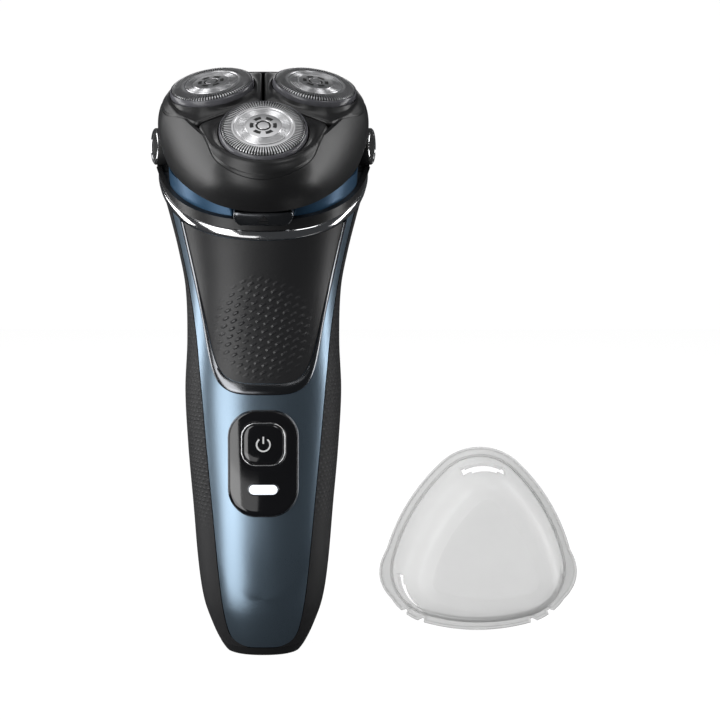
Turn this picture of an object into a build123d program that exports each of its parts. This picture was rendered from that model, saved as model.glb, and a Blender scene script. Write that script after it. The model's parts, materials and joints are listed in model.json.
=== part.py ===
"""Rotary electric shaver: tapered handle, tilted three-head shaving unit, loose protective cap."""

import os
from math import cos, pi, radians, sin

from build123d import *

os.makedirs("parts", exist_ok=True)

# ---- Driving dimensions, millimetres. +Z up, front faces -Y, origin at the centre of the foot ----

# Handle outline stations: height, half width, depth in front, depth behind.
STATIONS = [
    (0, 10.2, 8.6, 8.6),
    (2.5, 11.9, 10.2, 10.2),
    (7, 14.0, 12.1, 12.1),
    (14, 16.4, 14.1, 14.0),
    (24, 17.9, 15.4, 15.2),
    (40, 19.2, 16.4, 16.0),
    (57, 20.6, 17.2, 16.5),
    (72, 21.3, 17.6, 16.8),
    (86, 20.7, 17.6, 16.9),
    (100, 21.1, 18.4, 17.2),
    (110, 22.9, 20.6, 17.5),
    (119, 25.1, 23.4, 17.7),
    (131, 28.3, 26.6, 17.9),
    (150, 31.5, 30.0, 18.2),
]
SECTION_POWER = 2.25  # 2 is an ellipse, more is squarer
SECTION_POINTS = 20

BASE_TOP = 2.4
SKIN = 1.4  # outer panels
SHELL = 1.4  # load-bearing housing under them
INNER = SKIN + SHELL
SEAL_HALF = 0.4  # half of the seal between the housing's two shells
SIDE_HALF_REACH = 40.0  # beyond the sides of everything

# Panel edges on the right half, seen from the front: (x, z).
FACE_EDGE = [(5.0, 2.9), (8.4, 5.0), (10.2, 10), (11.8, 21), (12.9, 32.5), (14.0, 45), (15.0, 56),
             (16.0, 68), (16.9, 78), (18.0, 89), (19.7, 100), (21.7, 110), (25.2, 125)]
PANEL_EDGE = [(7.8, 72.9), (11.7, 75.3), (13.9, 80), (16.4, 93), (18.9, 104.5), (23.4, 125)]
PANEL_INNER = [(7.4, 75.9), (10.9, 77.8), (13.2, 82.2), (15.8, 93), (18.3, 104.5), (22.8, 125)]
FACE_FOOT, PANEL_FOOT, PANEL_INNER_FOOT = 2.6, 72.4, 75.4
BACK_HALF_WIDTH = 11.5

# Bezel, power button and light on the front panel.
BEZEL_WIDTH, BEZEL_HEIGHT, BEZEL_CORNER, BEZEL_Z = 18.2, 28.2, 7.2, 54.2
BUTTON_SIZE, BUTTON_CORNER, BUTTON_Z = 10.8, 3.5, 59.4
RING_OUT, RING_IN = 11.8, 11.2
BUTTON_THICK = 0.8
STEM_RADIUS, STEM_END = 2.3, -10.5
LED_LENGTH, LED_HEIGHT, LED_Z = 8.0, 3.0, 47.3

# Inside the handle.
BOARD_FRONT, BOARD_THICK, BOARD_WIDTH, BOARD_LOW, BOARD_HIGH = -8.0, 1.2, 18.0, 22.0, 98.0
CELL_RADIUS, CELL_LENGTH, CELL_LOW, CELL_Y = 7.0, 49.0, 20.5, 4.4
SOCKET_WIDTH, SOCKET_DEPTH, SOCKET_HEIGHT, SOCKET_WALL = 9.0, 6.0, 7.0, 1.1
SOCKET_PIN_RADIUS, SOCKET_PIN_SPACING, SOCKET_PIN_TIP = 0.65, 3.6, 4.6

# Shaving unit: its axis leans forward, heights below are along that axis from HEAD's origin.
HEAD_TILT = 32.7
HEAD_Y, HEAD_Z = -8.0, 136.7
BAND_LOW, BAND_HIGH, COLLAR_HIGH, DECK_HIGH = -12.8, -10.4, -7.8, -9.0
DECK_THICK = 1.2
RING_HALF_WIDTH, RING_HALF_DEPTH, RING_Y, RING_WALL, RING_HIGH = 25.0, 22.0, -0.9, 2.2, -3.2

# Gear train: a pinion on the motor drives three equal spindle gears.
MODULE, PINION_TEETH, GEAR_TEETH = 0.4, 12, 45
GEAR_CENTRE = MODULE * (PINION_TEETH + GEAR_TEETH) / 2
GEAR_LOW, GEAR_HIGH, HUB_HIGH = -13.0, -10.6, -8.0
PLATE_LOW, PLATE_HIGH = -14.6, -13.4
BALL_Z = -9.4
BALL_RADIUS, HUB_RADIUS, SOCKET_RADIUS = 1.6, 2.9, 2.1
POST_RADIUS, RUNNING = 1.2, 0.05
MOTOR_RADIUS, MOTOR_LENGTH, MOTOR_SHAFT = 6.2, 15.0, 1.0
SPINDLE_SHAFT, TANG_RADIUS, TANG_LOW, TANG_HIGH = 1.0, 1.25, 16.4, 20.6

# Cutting heads lean outward from the unit's axis, along their own spindles.
HEAD_LEAN = 10.0
TOP_Z = 15.3
AXIS_LENGTH = (TOP_Z - BALL_Z) / cos(radians(HEAD_LEAN))
GUARD_RADIUS, RIM_RADIUS, GUARD_DEPTH = 9.9, 11.15, 3.2
HEAD_ANGLES = {"front": -90, "left": 150, "right": 30}
# Unit outline at each height: three lobes at a radius, each with a corner radius.
LOBES = [(-2.6, 6.5, 20.6), (2, 9.5, 19.4), (6, 12.0, 17.4), (9.5, 13.4, 15.1), (12, 14.0, 12.8)]
SIDE_BOW = 0.8  # how far the sides between lobes bow out from straight
UNIT_WALL = 2.2
UNIT_ROOF = 9.8
PETAL_LOW, PETAL_SEAT = 6.5, 5.6
PETAL_RADIUS, PETAL_CENTRE, PETAL_CORNER, PETAL_GAP = 14.2, 14.9, 19.6, 0.35
HINGE_Y, HINGE_Z, HINGE_RADIUS, KNUCKLE_RADIUS = 23.4, -5.4, 0.8, 1.6
KNUCKLE_LENGTH, KNUCKLE_PLACES, UNIT_KNUCKLE = 3.6, (-9.2, 9.2), 13.8
CHAMBER_LOW, CHAMBER_HIGH, PORT_RADIUS, PORT_SHIFT = -1.6, -0.4, 5.3, -1.6
# Pivot caps at the unit's sides, leaned towards the viewer.
PIVOT_Y, PIVOT_Z, PIVOT_FACE, PIVOT_RADIUS, PIVOT_LEAN = 7.3, -3.4, 29.2, 4.9, 16
PIVOT_DEPTH, PIVOT_GAP = 3.6, 0.6

# Release button in front of the collar, and its leaf spring.
RELEASE_WIDTH, RELEASE_LOW, RELEASE_HIGH = 15.4, -7.6, -3.6
RELEASE_FACE, RELEASE_BACK, RELEASE_TRAVEL, RELEASE_GAP = -25.6, -22.0, 1.0, 0.25
LEAF_THICK, LEAF_HEIGHT, LEAF_LEFT, LEAF_RIGHT = 0.35, 3.2, -6.0, 5.0

# Pop-up trimmer in the back.
TRIM_WIDTH, TRIM_LOW, TRIM_HIGH, TRIM_FLOOR = 18.0, 77.0, 108.0, 12.5
TRIM_PIVOT_Y, TRIM_PIVOT_Z, TRIM_GAP = 14.8, 79.2, 0.3
TRIM_PIN, TRAY_WALL = 0.8, 1.3
COMB_Y, BLADE_Y, COMB_THICK, COMB_HALF, BLADE_HALF, TRIM_TEETH = 13.0, 13.75, 0.55, 8.0, 6.9, 13
SWITCH_WIDTH, SWITCH_HEIGHT, SWITCH_Z, SWITCH_TRAVEL = 8.0, 7.0, 66.0, 3.0

# Protective cap, stood on the floor to the right of the handle.
CAP_X, CAP_RIM_Y = 62.0, 16.0
CAP_CORNER_CENTRE, CAP_CORNER_RADIUS, CAP_SIDE = 13.1, 16.1, 24.3
CAP_WALL, CAP_FLANGE = 1.1, 1.4
# A curved vent at each corner, about the corner's own centre.
VENT_RADIUS, VENT_WIDTH, VENT_HALF_ANGLE = 12.1, 1.4, 32
# Dome outline: depth from the rim, how far its edge is drawn in from the flange's edge.
CAP_DOME = [(0, 2.9), (6, 3.6), (10.5, 5.6), (13.6, 8.8), (15, 12.3)]

HEAD = Plane(
    origin=(0, HEAD_Y, HEAD_Z),
    x_dir=(1, 0, 0),
    z_dir=(0, -sin(radians(HEAD_TILT)), cos(radians(HEAD_TILT))),
)


def save(part, name):
    """Label one finished piece and write it to its own file."""
    part.label = name
    export_step(part, f"parts/{name}.step")


def section_point(angle, half_width, front, back):
    """Point of the handle's cross-section at an angle from its back centre line."""
    sideways, along = sin(angle), cos(angle)
    depth = back if along > 0 else front
    x = half_width * abs(sideways) ** (2 / SECTION_POWER) * (1 if sideways > 0 else -1)
    y = depth * abs(along) ** (2 / SECTION_POWER) * (1 if along > 0 else -1)
    return x, y


def body_solid(inset, bottom=0.0):
    """The handle's outer shape, solid, drawn in by inset all round, from height bottom up."""
    with BuildPart() as body:
        for height, half_width, front, back in STATIONS:
            with BuildSketch(Plane.XY.offset(height)):
                with BuildLine():
                    angles = [2 * pi * step / SECTION_POINTS for step in range(SECTION_POINTS)]
                    points = [
                        section_point(angle, half_width - inset, front - inset, back - inset)
                        for angle in angles
                    ]
                    Spline(*points, periodic=True)
                make_face()
        loft()
        if bottom > 0:
            split(bisect_by=Plane.XY.offset(bottom), keep=Keep.TOP)
    return body.part


def front_prism(edge, foot, top, front=-60.0, back=0.0, grow=0.0):
    """A front-view outline, symmetric about the centre line, carried through in depth."""
    with BuildPart() as prism:
        with BuildSketch(Plane.XZ.offset(-back)):
            with BuildLine():
                right = Spline((0, foot), *edge, tangents=[(1, 0), (0.25, 1)])
                mirror(right, about=Plane.YZ)
                Line(right @ 1, (-edge[-1][0], edge[-1][1]))
            make_face()
            if grow:
                offset(amount=grow, kind=Kind.INTERSECTION)
        extrude(amount=back - front)
        split(bisect_by=Plane.XY.offset(top), keep=Keep.BOTTOM)
    return prism.part


def slice_between(part, low, high):
    """The stretch of a solid between two heights on the unit's leaning axis."""
    with BuildPart() as piece:
        add(part)
        if low is not None:
            split(bisect_by=HEAD.offset(low), keep=Keep.TOP)
        if high is not None:
            split(bisect_by=HEAD.offset(high), keep=Keep.BOTTOM)
    return piece.part


def rounded_block(width, height, corner, centre_z, front, back):
    """A rounded rectangle seen from the front, from depth y = front to y = back."""
    with BuildPart() as block:
        with BuildSketch(Plane.XZ.offset(-back)):
            with Locations((0, centre_z)):
                RectangleRounded(width, height, corner)
        extrude(amount=back - front)
    return block.part


def gear_outline(teeth, phase):
    """Straight-flanked teeth with backlash, drawn as one closed polygon."""
    pitch_radius = MODULE * teeth / 2
    root, tip = pitch_radius - 1.2 * MODULE, pitch_radius + 0.85 * MODULE
    step = 2 * pi / teeth
    points = []
    for tooth in range(teeth):
        middle = radians(phase) + tooth * step
        for radius, share in ((root, -0.33), (tip, -0.13), (tip, 0.13), (root, 0.33)):
            angle = middle + share * step
            points.append((radius * cos(angle), radius * sin(angle)))
    return points


def at_angle(radius, degrees):
    """Point in the unit's plane at a radius and an angle."""
    return radius * cos(radians(degrees)), radius * sin(radians(degrees))


def head_plane(degrees, along):
    """Plane square to one leaning head axis, at a distance above its spindle's ball."""
    outward = HEAD.x_dir * cos(radians(degrees)) + HEAD.y_dir * sin(radians(degrees))
    sideways = HEAD.y_dir * cos(radians(degrees)) - HEAD.x_dir * sin(radians(degrees))
    ball = HEAD.origin + outward * GEAR_CENTRE + HEAD.z_dir * BALL_Z
    lean = outward * sin(radians(HEAD_LEAN)) + HEAD.z_dir * cos(radians(HEAD_LEAN))
    return Plane(origin=ball + lean * along, x_dir=sideways, z_dir=lean)


def rounded_triangle(corner_centre, corner_radius, side_distance, first=-90):
    """Three-cornered outline of tangent arcs: round corners joined by gently bowed sides."""
    across, along = corner_centre * sin(radians(60)), corner_centre / 2
    bow = (across**2 + (along - side_distance) ** 2 - corner_radius**2) / (
        2 * (side_distance - along - corner_radius)
    )
    joins = []
    for corner in range(3):
        angle = first + 120 * corner
        centre = Vector(*at_angle(corner_centre, angle))
        for side in (-60, 60):
            bow_centre = Vector(*at_angle(side_distance - bow, angle + side))
            joins.append(centre + (centre - bow_centre).normalized() * corner_radius)
    for corner in range(3):
        angle = first + 120 * corner
        ThreePointArc(
            joins[2 * corner],
            at_angle(corner_centre + corner_radius, angle),
            joins[2 * corner + 1],
        )
        ThreePointArc(
            joins[2 * corner + 1],
            at_angle(side_distance, angle + 60),
            joins[(2 * corner + 2) % 6],
        )


def unit_solid(shrink, low, high):
    """The shaving unit's outer shape, solid, drawn in sideways by shrink."""
    with BuildPart() as unit:
        for height, lobe_centre, lobe_radius in LOBES:
            with BuildSketch(HEAD.offset(height)):
                with BuildLine():
                    side = lobe_centre / 2 + lobe_radius + SIDE_BOW
                    rounded_triangle(lobe_centre, lobe_radius - shrink, side - shrink)
                make_face()
        loft()
    return slice_between(unit.part, low, high)


def petal_prism(degrees, grow, low, high):
    """Outline of one head's holder, carried along the unit's axis."""
    with BuildPart() as prism:
        with BuildSketch(HEAD.offset(low)):
            with Locations(at_angle(PETAL_CENTRE, degrees)):
                Circle(PETAL_RADIUS)
            left, right = degrees - 60, degrees + 60
            Polygon((0, 0), at_angle(PETAL_CORNER, left), at_angle(PETAL_CORNER, right), align=None)
            make_hull()
            Polygon((0, 0), at_angle(60, left), at_angle(60, right), align=None, mode=Mode.INTERSECT)
            if grow:
                offset(amount=grow)
        extrude(amount=high - low)
    return prism.part


# ---- Handle: outer skins, housing, base ----

outer = body_solid(0)
under_skin = body_solid(SKIN)
cavity = body_solid(INNER, BASE_TOP)

with BuildPart() as skin:
    add(outer)
    add(under_skin, mode=Mode.SUBTRACT)
    split(bisect_by=Plane.XY.offset(BASE_TOP), keep=Keep.TOP)
skin_part = slice_between(skin.part, None, BAND_LOW)

socket_block = (SOCKET_WIDTH + 2 * SOCKET_WALL, SOCKET_DEPTH + 2 * SOCKET_WALL)

with BuildPart() as base_cap:
    add(outer)
    split(bisect_by=Plane.XY.offset(BASE_TOP), keep=Keep.BOTTOM)
    with BuildSketch():
        Rectangle(*socket_block)
    extrude(amount=BASE_TOP, mode=Mode.SUBTRACT)
save(base_cap.part, "base_cap")

face_prism = front_prism(FACE_EDGE, FACE_FOOT, 125)
panel_prism = front_prism(PANEL_EDGE, PANEL_FOOT, 125)
inner_prism = front_prism(PANEL_INNER, PANEL_INNER_FOOT, 125)
bezel_hole = rounded_block(BEZEL_WIDTH, BEZEL_HEIGHT, BEZEL_CORNER, BEZEL_Z, -30, 0)

with BuildPart() as front_faceplate:
    add(skin_part)
    add(face_prism, mode=Mode.INTERSECT)
    add(panel_prism, mode=Mode.SUBTRACT)
    add(bezel_hole, mode=Mode.SUBTRACT)
save(front_faceplate.part, "front_faceplate")

with BuildPart() as panel_trim:
    add(skin_part)
    add(panel_prism, mode=Mode.INTERSECT)
    add(inner_prism, mode=Mode.SUBTRACT)
save(panel_trim.part, "panel_trim")

with BuildPart() as front_grip_panel:
    add(skin_part)
    add(inner_prism, mode=Mode.INTERSECT)
save(front_grip_panel.part, "front_grip_panel")

back_block = Pos(0, 15, 75) * Box(2 * BACK_HALF_WIDTH, 30, 150)
for side, name in ((-1, "left_grip"), (1, "right_grip")):
    with BuildPart() as grip:
        add(skin_part)
        add(face_prism, mode=Mode.SUBTRACT)
        add(back_block, mode=Mode.SUBTRACT)
        split(bisect_by=Plane.YZ, keep=Keep.TOP if side > 0 else Keep.BOTTOM)
    save(grip.part, name)

# Recess in the back for the pop-up trimmer, with a round end about its pivot.
recess_width = TRIM_WIDTH + 2 * TRIM_GAP
with BuildPart() as trim_recess:
    with BuildSketch(Plane.YZ.offset(-recess_width / 2)):
        with Locations(((TRIM_FLOOR + 30) / 2, (TRIM_PIVOT_Z + TRIM_HIGH + 3) / 2)):
            Rectangle(30 - TRIM_FLOOR, TRIM_HIGH + 3 - TRIM_PIVOT_Z)
        with Locations((TRIM_PIVOT_Y, TRIM_PIVOT_Z)):
            Circle(TRIM_PIVOT_Y - TRIM_FLOOR)
        with Locations(((TRIM_PIVOT_Y + 30) / 2, TRIM_PIVOT_Z)):
            Rectangle(30 - TRIM_PIVOT_Y, 2 * (TRIM_PIVOT_Y - TRIM_FLOOR))
    extrude(amount=recess_width)

switch_slot = Pos(0, 20, SWITCH_Z - SWITCH_TRAVEL / 2) * Box(
    SWITCH_WIDTH + 2 * TRIM_GAP, 12, SWITCH_HEIGHT + SWITCH_TRAVEL + 2 * TRIM_GAP
)

with BuildPart() as rear_panel:
    add(skin_part)
    add(back_block, mode=Mode.INTERSECT)
    add(trim_recess.part, mode=Mode.SUBTRACT)
    add(switch_slot, mode=Mode.SUBTRACT)
save(rear_panel.part, "rear_panel")

with BuildPart() as shell:
    add(under_skin)
    add(cavity, mode=Mode.SUBTRACT)
    split(bisect_by=Plane.XY.offset(BASE_TOP), keep=Keep.TOP)
shell_part = slice_between(shell.part, None, DECK_HIGH)
stem_hole = Pos(0, -15, BUTTON_Z) * Rot(90, 0, 0) * Cylinder(STEM_RADIUS + 0.3, 12)
light_hole = Pos(0, -15, LED_Z) * Box(LED_LENGTH - 1, 12, LED_HEIGHT - 1)

with BuildPart() as front_housing:
    add(shell_part)
    split(bisect_by=Plane.XZ.offset(SEAL_HALF), keep=Keep.TOP)
    add(stem_hole, mode=Mode.SUBTRACT)
    add(light_hole, mode=Mode.SUBTRACT)
save(front_housing.part, "front_housing")

tray = Pos(0, TRIM_FLOOR + 0.7, (TRIM_LOW + TRIM_HIGH) / 2) * Box(
    recess_width + 2 * TRAY_WALL, 2 * (0.7 + TRAY_WALL), TRIM_HIGH - TRIM_LOW + 9
)
with BuildPart() as rear_housing:
    add(shell_part)
    split(bisect_by=Plane.XZ.offset(-SEAL_HALF), keep=Keep.BOTTOM)
    with BuildPart(mode=Mode.PRIVATE) as tray_body:
        add(tray)
        add(under_skin, mode=Mode.INTERSECT)
    add(tray_body.part)
    add(trim_recess.part, mode=Mode.SUBTRACT)
save(rear_housing.part, "rear_housing")

with BuildPart() as housing_seal:
    add(shell_part)
    split(bisect_by=Plane.XZ.offset(SEAL_HALF), keep=Keep.BOTTOM)
    split(bisect_by=Plane.XZ.offset(-SEAL_HALF), keep=Keep.TOP)
save(housing_seal.part, "housing_seal")

# ---- Bezel, button, ring and light ----

button_hole = rounded_block(RING_OUT, RING_OUT, BUTTON_CORNER + 0.5, BUTTON_Z, -30, 0)
with BuildPart() as led_hole:
    with BuildSketch(Plane.XZ):
        with Locations((0, LED_Z)):
            SlotOverall(LED_LENGTH, LED_HEIGHT)
    extrude(amount=30)

with BuildPart() as button_bezel:
    add(outer)
    add(under_skin, mode=Mode.SUBTRACT)
    add(bezel_hole, mode=Mode.INTERSECT)
    add(button_hole, mode=Mode.SUBTRACT)
    add(led_hole.part, mode=Mode.SUBTRACT)
save(button_bezel.part, "button_bezel")

with BuildPart() as button_ring:
    add(outer)
    add(under_skin, mode=Mode.SUBTRACT)
    add(button_hole, mode=Mode.INTERSECT)
    add(rounded_block(RING_IN, RING_IN, BUTTON_CORNER + 0.2, BUTTON_Z, -30, 0), mode=Mode.SUBTRACT)
save(button_ring.part, "button_ring")

with BuildPart() as led_lens:
    add(outer)
    add(under_skin, mode=Mode.SUBTRACT)
    add(led_hole.part, mode=Mode.INTERSECT)
save(led_lens.part, "led_lens")

with BuildPart() as light_guide:
    add(under_skin)
    with BuildSketch(Plane.XZ.offset(-BOARD_FRONT + 1.0)):
        with Locations((0, LED_Z)):
            Rectangle(LED_LENGTH - 1.4, LED_HEIGHT - 1.4)
    extrude(amount=30, mode=Mode.INTERSECT)
save(light_guide.part, "light_guide")

with BuildPart() as power_button:
    add(outer)
    add(body_solid(BUTTON_THICK), mode=Mode.SUBTRACT)
    add(
        rounded_block(BUTTON_SIZE, BUTTON_SIZE, BUTTON_CORNER, BUTTON_Z, -30, -5),
        mode=Mode.INTERSECT,
    )
    with BuildSketch(Plane.XZ.offset(-STEM_END)):
        with Locations((0, BUTTON_Z)):
            Circle(STEM_RADIUS)
    extrude(amount=16.8 + STEM_END)
save(power_button.part, "power_button")

# ---- Electronics, cell, socket ----

with BuildPart() as circuit_board:
    with BuildSketch(Plane.XZ.offset(-BOARD_FRONT - BOARD_THICK)):
        with Locations((0, (BOARD_LOW + BOARD_HIGH) / 2)):
            RectangleRounded(BOARD_WIDTH, BOARD_HIGH - BOARD_LOW, 2)
    extrude(amount=BOARD_THICK)
    with Locations((0, BOARD_FRONT - 0.5, LED_Z)):
        Box(3.2, 1.0, 1.6)
    for across, up in ((-4.5, 36), (4, 76), (-4, 88)):
        with Locations((across, BOARD_FRONT - 0.8, up)):
            Box(6, 1.6, 5)
save(circuit_board.part, "circuit_board")

with BuildPart() as tactile_switch:
    with Locations((0, BOARD_FRONT - 0.8, BUTTON_Z)):
        Box(6, 1.6, 6)
    with BuildSketch(Plane.XZ.offset(-BOARD_FRONT + 1.6)):
        with Locations((0, BUTTON_Z)):
            Circle(1.5)
    extrude(amount=0.35)
save(tactile_switch.part, "tactile_switch")

with BuildPart() as battery_cell:
    with BuildSketch(Plane.XY.offset(CELL_LOW)):
        with Locations((0, CELL_Y)):
            Circle(CELL_RADIUS)
    extrude(amount=CELL_LENGTH)
    fillet(battery_cell.edges().filter_by(GeomType.CIRCLE), 0.6)
    with BuildSketch(Plane.XY.offset(CELL_LOW + CELL_LENGTH)):
        with Locations((0, CELL_Y)):
            Circle(2.6)
    extrude(amount=1.0)
save(battery_cell.part, "battery_cell")

with BuildPart() as battery_contacts:
    for low in (CELL_LOW - 1.5, CELL_LOW + CELL_LENGTH + 1.3):
        with BuildSketch(Plane.XY.offset(low)):
            with Locations((0, (CELL_Y + BOARD_FRONT + BOARD_THICK) / 2)):
                Rectangle(7, CELL_Y - BOARD_FRONT - BOARD_THICK)
        extrude(amount=0.5)
save(battery_contacts.part, "battery_contacts")

with BuildPart() as charging_socket:
    with BuildSketch():
        Rectangle(*socket_block)
        Rectangle(SOCKET_WIDTH, SOCKET_DEPTH, mode=Mode.SUBTRACT)
    extrude(amount=SOCKET_HEIGHT)
    with BuildSketch(Plane.XY.offset(SOCKET_HEIGHT)):
        Rectangle(*socket_block)
        with Locations((-SOCKET_PIN_SPACING / 2, 0), (SOCKET_PIN_SPACING / 2, 0)):
            Circle(SOCKET_PIN_RADIUS, mode=Mode.SUBTRACT)
    extrude(amount=1.4)
save(charging_socket.part, "charging_socket")

with BuildPart() as socket_pins:
    with BuildSketch(Plane.XY.offset(SOCKET_PIN_TIP)):
        with Locations((-SOCKET_PIN_SPACING / 2, 0), (SOCKET_PIN_SPACING / 2, 0)):
            Circle(SOCKET_PIN_RADIUS)
    extrude(amount=SOCKET_HEIGHT + 3.4 - SOCKET_PIN_TIP)
save(socket_pins.part, "socket_pins")

# ---- Collar, deck, gear plate ----

with BuildPart() as collar_wall:
    add(outer)
    add(under_skin, mode=Mode.SUBTRACT)
save(slice_between(collar_wall.part, BAND_LOW, BAND_HIGH), "collar_band")

with BuildPart() as release_pocket:
    with BuildSketch(HEAD.offset(RELEASE_LOW - RELEASE_GAP)):
        with Locations((0, -24.0)):
            Rectangle(RELEASE_WIDTH + 2 * RELEASE_GAP, 9)
    extrude(amount=12)


# Side view of the unit: drawn with the unit's own depth and height, normal along +X.
SIDE = Plane(origin=HEAD.origin, x_dir=HEAD.y_dir, z_dir=HEAD.x_dir)


def hinge_knuckle(middle, length, foot_low, foot_high, bore):
    """Round eye about the opening hinge, with a foot that reaches its own wall."""
    with BuildPart() as knuckle:
        with BuildSketch(SIDE.offset(middle - length / 2)):
            with Locations((HINGE_Y, HINGE_Z)):
                Circle(KNUCKLE_RADIUS)
            with Locations((HINGE_Y, (foot_low + foot_high) / 2)):
                Rectangle(2 * KNUCKLE_RADIUS, foot_high - foot_low)
            with Locations((HINGE_Y, HINGE_Z)):
                Circle(bore, mode=Mode.SUBTRACT)
        extrude(amount=length)
    return knuckle.part


def hinge_clearance(half_length):
    """Room round the opening hinge for the unit's own knuckle."""
    with BuildPart() as room:
        with BuildSketch(SIDE.offset(-half_length)):
            with Locations((HINGE_Y, HINGE_Z)):
                Circle(KNUCKLE_RADIUS + 0.35)
        extrude(amount=2 * half_length)
    return room.part


# The pivot caps sit partly beside the collar, which is notched round them.
with BuildPart() as pivot_room:
    with BuildSketch(SIDE.offset(-SIDE_HALF_REACH)):
        with Locations((PIVOT_Y, PIVOT_Z)):
            Circle(PIVOT_RADIUS + PIVOT_GAP)
    extrude(amount=2 * SIDE_HALF_REACH)

with BuildPart() as collar_ring:
    add(slice_between(collar_wall.part, BAND_HIGH, COLLAR_HIGH))
    add(pivot_room.part, mode=Mode.SUBTRACT)
    add(hinge_clearance(7.3), mode=Mode.SUBTRACT)
    for place in KNUCKLE_PLACES:
        add(hinge_knuckle(place, KNUCKLE_LENGTH, COLLAR_HIGH - 1.2, HINGE_Z, HINGE_RADIUS))
    add(release_pocket.part, mode=Mode.SUBTRACT)
save(collar_ring.part, "collar_ring")

with BuildPart() as hinge_pin:
    with BuildSketch(SIDE.offset(KNUCKLE_PLACES[0] - KNUCKLE_LENGTH / 2)):
        with Locations((HINGE_Y, HINGE_Z)):
            Circle(HINGE_RADIUS)
    extrude(amount=KNUCKLE_PLACES[1] - KNUCKLE_PLACES[0] + KNUCKLE_LENGTH)
save(hinge_pin.part, "hinge_pin")

with BuildPart() as drive_cover:
    add(slice_between(body_solid(INNER), DECK_HIGH - DECK_THICK, DECK_HIGH))
    with BuildSketch(HEAD.offset(DECK_HIGH - DECK_THICK - 1)):
        with PolarLocations(GEAR_CENTRE, 3, start_angle=-90):
            Circle(HUB_RADIUS + 0.6)
    extrude(amount=4, mode=Mode.SUBTRACT)
save(drive_cover.part, "drive_cover")

with BuildPart() as coupling_ring:
    with BuildSketch(HEAD.offset(DECK_HIGH)):
        with Locations((0, RING_Y)):
            Ellipse(RING_HALF_WIDTH, RING_HALF_DEPTH)
            Ellipse(RING_HALF_WIDTH - RING_WALL, RING_HALF_DEPTH - RING_WALL, mode=Mode.SUBTRACT)
    extrude(amount=RING_HIGH - DECK_HIGH)
    add(under_skin, mode=Mode.INTERSECT)
    add(release_pocket.part, mode=Mode.SUBTRACT)
    add(pivot_room.part, mode=Mode.SUBTRACT)
    add(hinge_clearance(12), mode=Mode.SUBTRACT)
save(coupling_ring.part, "coupling_ring")

with BuildPart() as gear_plate:
    add(slice_between(cavity, PLATE_LOW, PLATE_HIGH))
    with BuildSketch(HEAD.offset(PLATE_LOW)):
        Circle(MODULE * PINION_TEETH / 2 + 0.8)
    extrude(amount=2, mode=Mode.SUBTRACT)
    with BuildSketch(HEAD.offset(PLATE_HIGH)):
        with PolarLocations(GEAR_CENTRE, 3, start_angle=-90):
            Circle(POST_RADIUS)
    extrude(amount=GEAR_HIGH - 0.8 - PLATE_HIGH)
save(gear_plate.part, "gear_plate")

# ---- Motor and drive ----

with BuildPart() as motor_can:
    with BuildSketch(HEAD.offset(PLATE_LOW - MOTOR_LENGTH)):
        Circle(MOTOR_RADIUS)
    extrude(amount=MOTOR_LENGTH)
    fillet(motor_can.edges().filter_by(GeomType.CIRCLE), 0.8)
    with BuildSketch(HEAD.offset(PLATE_LOW - 3)):
        Circle(MOTOR_SHAFT + RUNNING)
    extrude(amount=3, mode=Mode.SUBTRACT)
save(motor_can.part, "motor_can")

with BuildPart() as motor_screws:
    with BuildSketch(HEAD.offset(PLATE_LOW - 2)):
        with PolarLocations(4.7, 3, start_angle=-30):
            Circle(0.6)
    extrude(amount=PLATE_HIGH - PLATE_LOW + 2)
    with BuildSketch(HEAD.offset(PLATE_HIGH)):
        with PolarLocations(4.7, 3, start_angle=-30):
            Circle(1.1)
    extrude(amount=0.25)
save(motor_screws.part, "motor_screws")

with BuildPart() as drive_pinion:
    with BuildSketch(HEAD.offset(GEAR_LOW - 0.2)):
        Polygon(*gear_outline(PINION_TEETH, 30), align=None)
    extrude(amount=GEAR_HIGH - GEAR_LOW + 0.4)
    with BuildSketch(HEAD.offset(PLATE_LOW - 2.6)):
        Circle(MOTOR_SHAFT)
    extrude(amount=GEAR_LOW - PLATE_LOW + 2.6)
save(drive_pinion.part, "drive_pinion")

for name, degrees in HEAD_ANGLES.items():
    centre = at_angle(GEAR_CENTRE, degrees)
    facing_gap = degrees + 180 + 180 / GEAR_TEETH
    with BuildPart() as spindle_gear:
        with BuildSketch(HEAD.offset(GEAR_LOW)):
            with Locations(centre):
                Polygon(*gear_outline(GEAR_TEETH, facing_gap), align=None)
        extrude(amount=GEAR_HIGH - GEAR_LOW)
        with BuildSketch(HEAD.offset(GEAR_LOW)):
            with Locations(centre):
                Circle(HUB_RADIUS)
        extrude(amount=HUB_HIGH - GEAR_LOW)
        with BuildSketch(HEAD.offset(GEAR_LOW)):
            with Locations(centre):
                Circle(POST_RADIUS + RUNNING)
        extrude(amount=GEAR_HIGH - 0.7 - GEAR_LOW, mode=Mode.SUBTRACT)
        with BuildSketch(HEAD.offset(BALL_Z - BALL_RADIUS)):
            with Locations(centre):
                Circle(SOCKET_RADIUS)
        extrude(amount=6, mode=Mode.SUBTRACT)
    save(spindle_gear.part, f"{name}_spindle_gear")

for name, degrees in HEAD_ANGLES.items():
    axis = head_plane(degrees, 0)
    with BuildPart() as drive_spindle:
        with BuildSketch(axis):
            Circle(SPINDLE_SHAFT)
        extrude(amount=TANG_LOW)
        with BuildSketch(axis.offset(TANG_LOW)):
            RegularPolygon(TANG_RADIUS, 6)
        extrude(amount=TANG_HIGH - TANG_LOW)
        with Locations(axis):
            Sphere(BALL_RADIUS)
    save(drive_spindle.part, f"{name}_drive_spindle")

# ---- Shaving unit ----

unit_outer = unit_solid(0, None, None)

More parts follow.
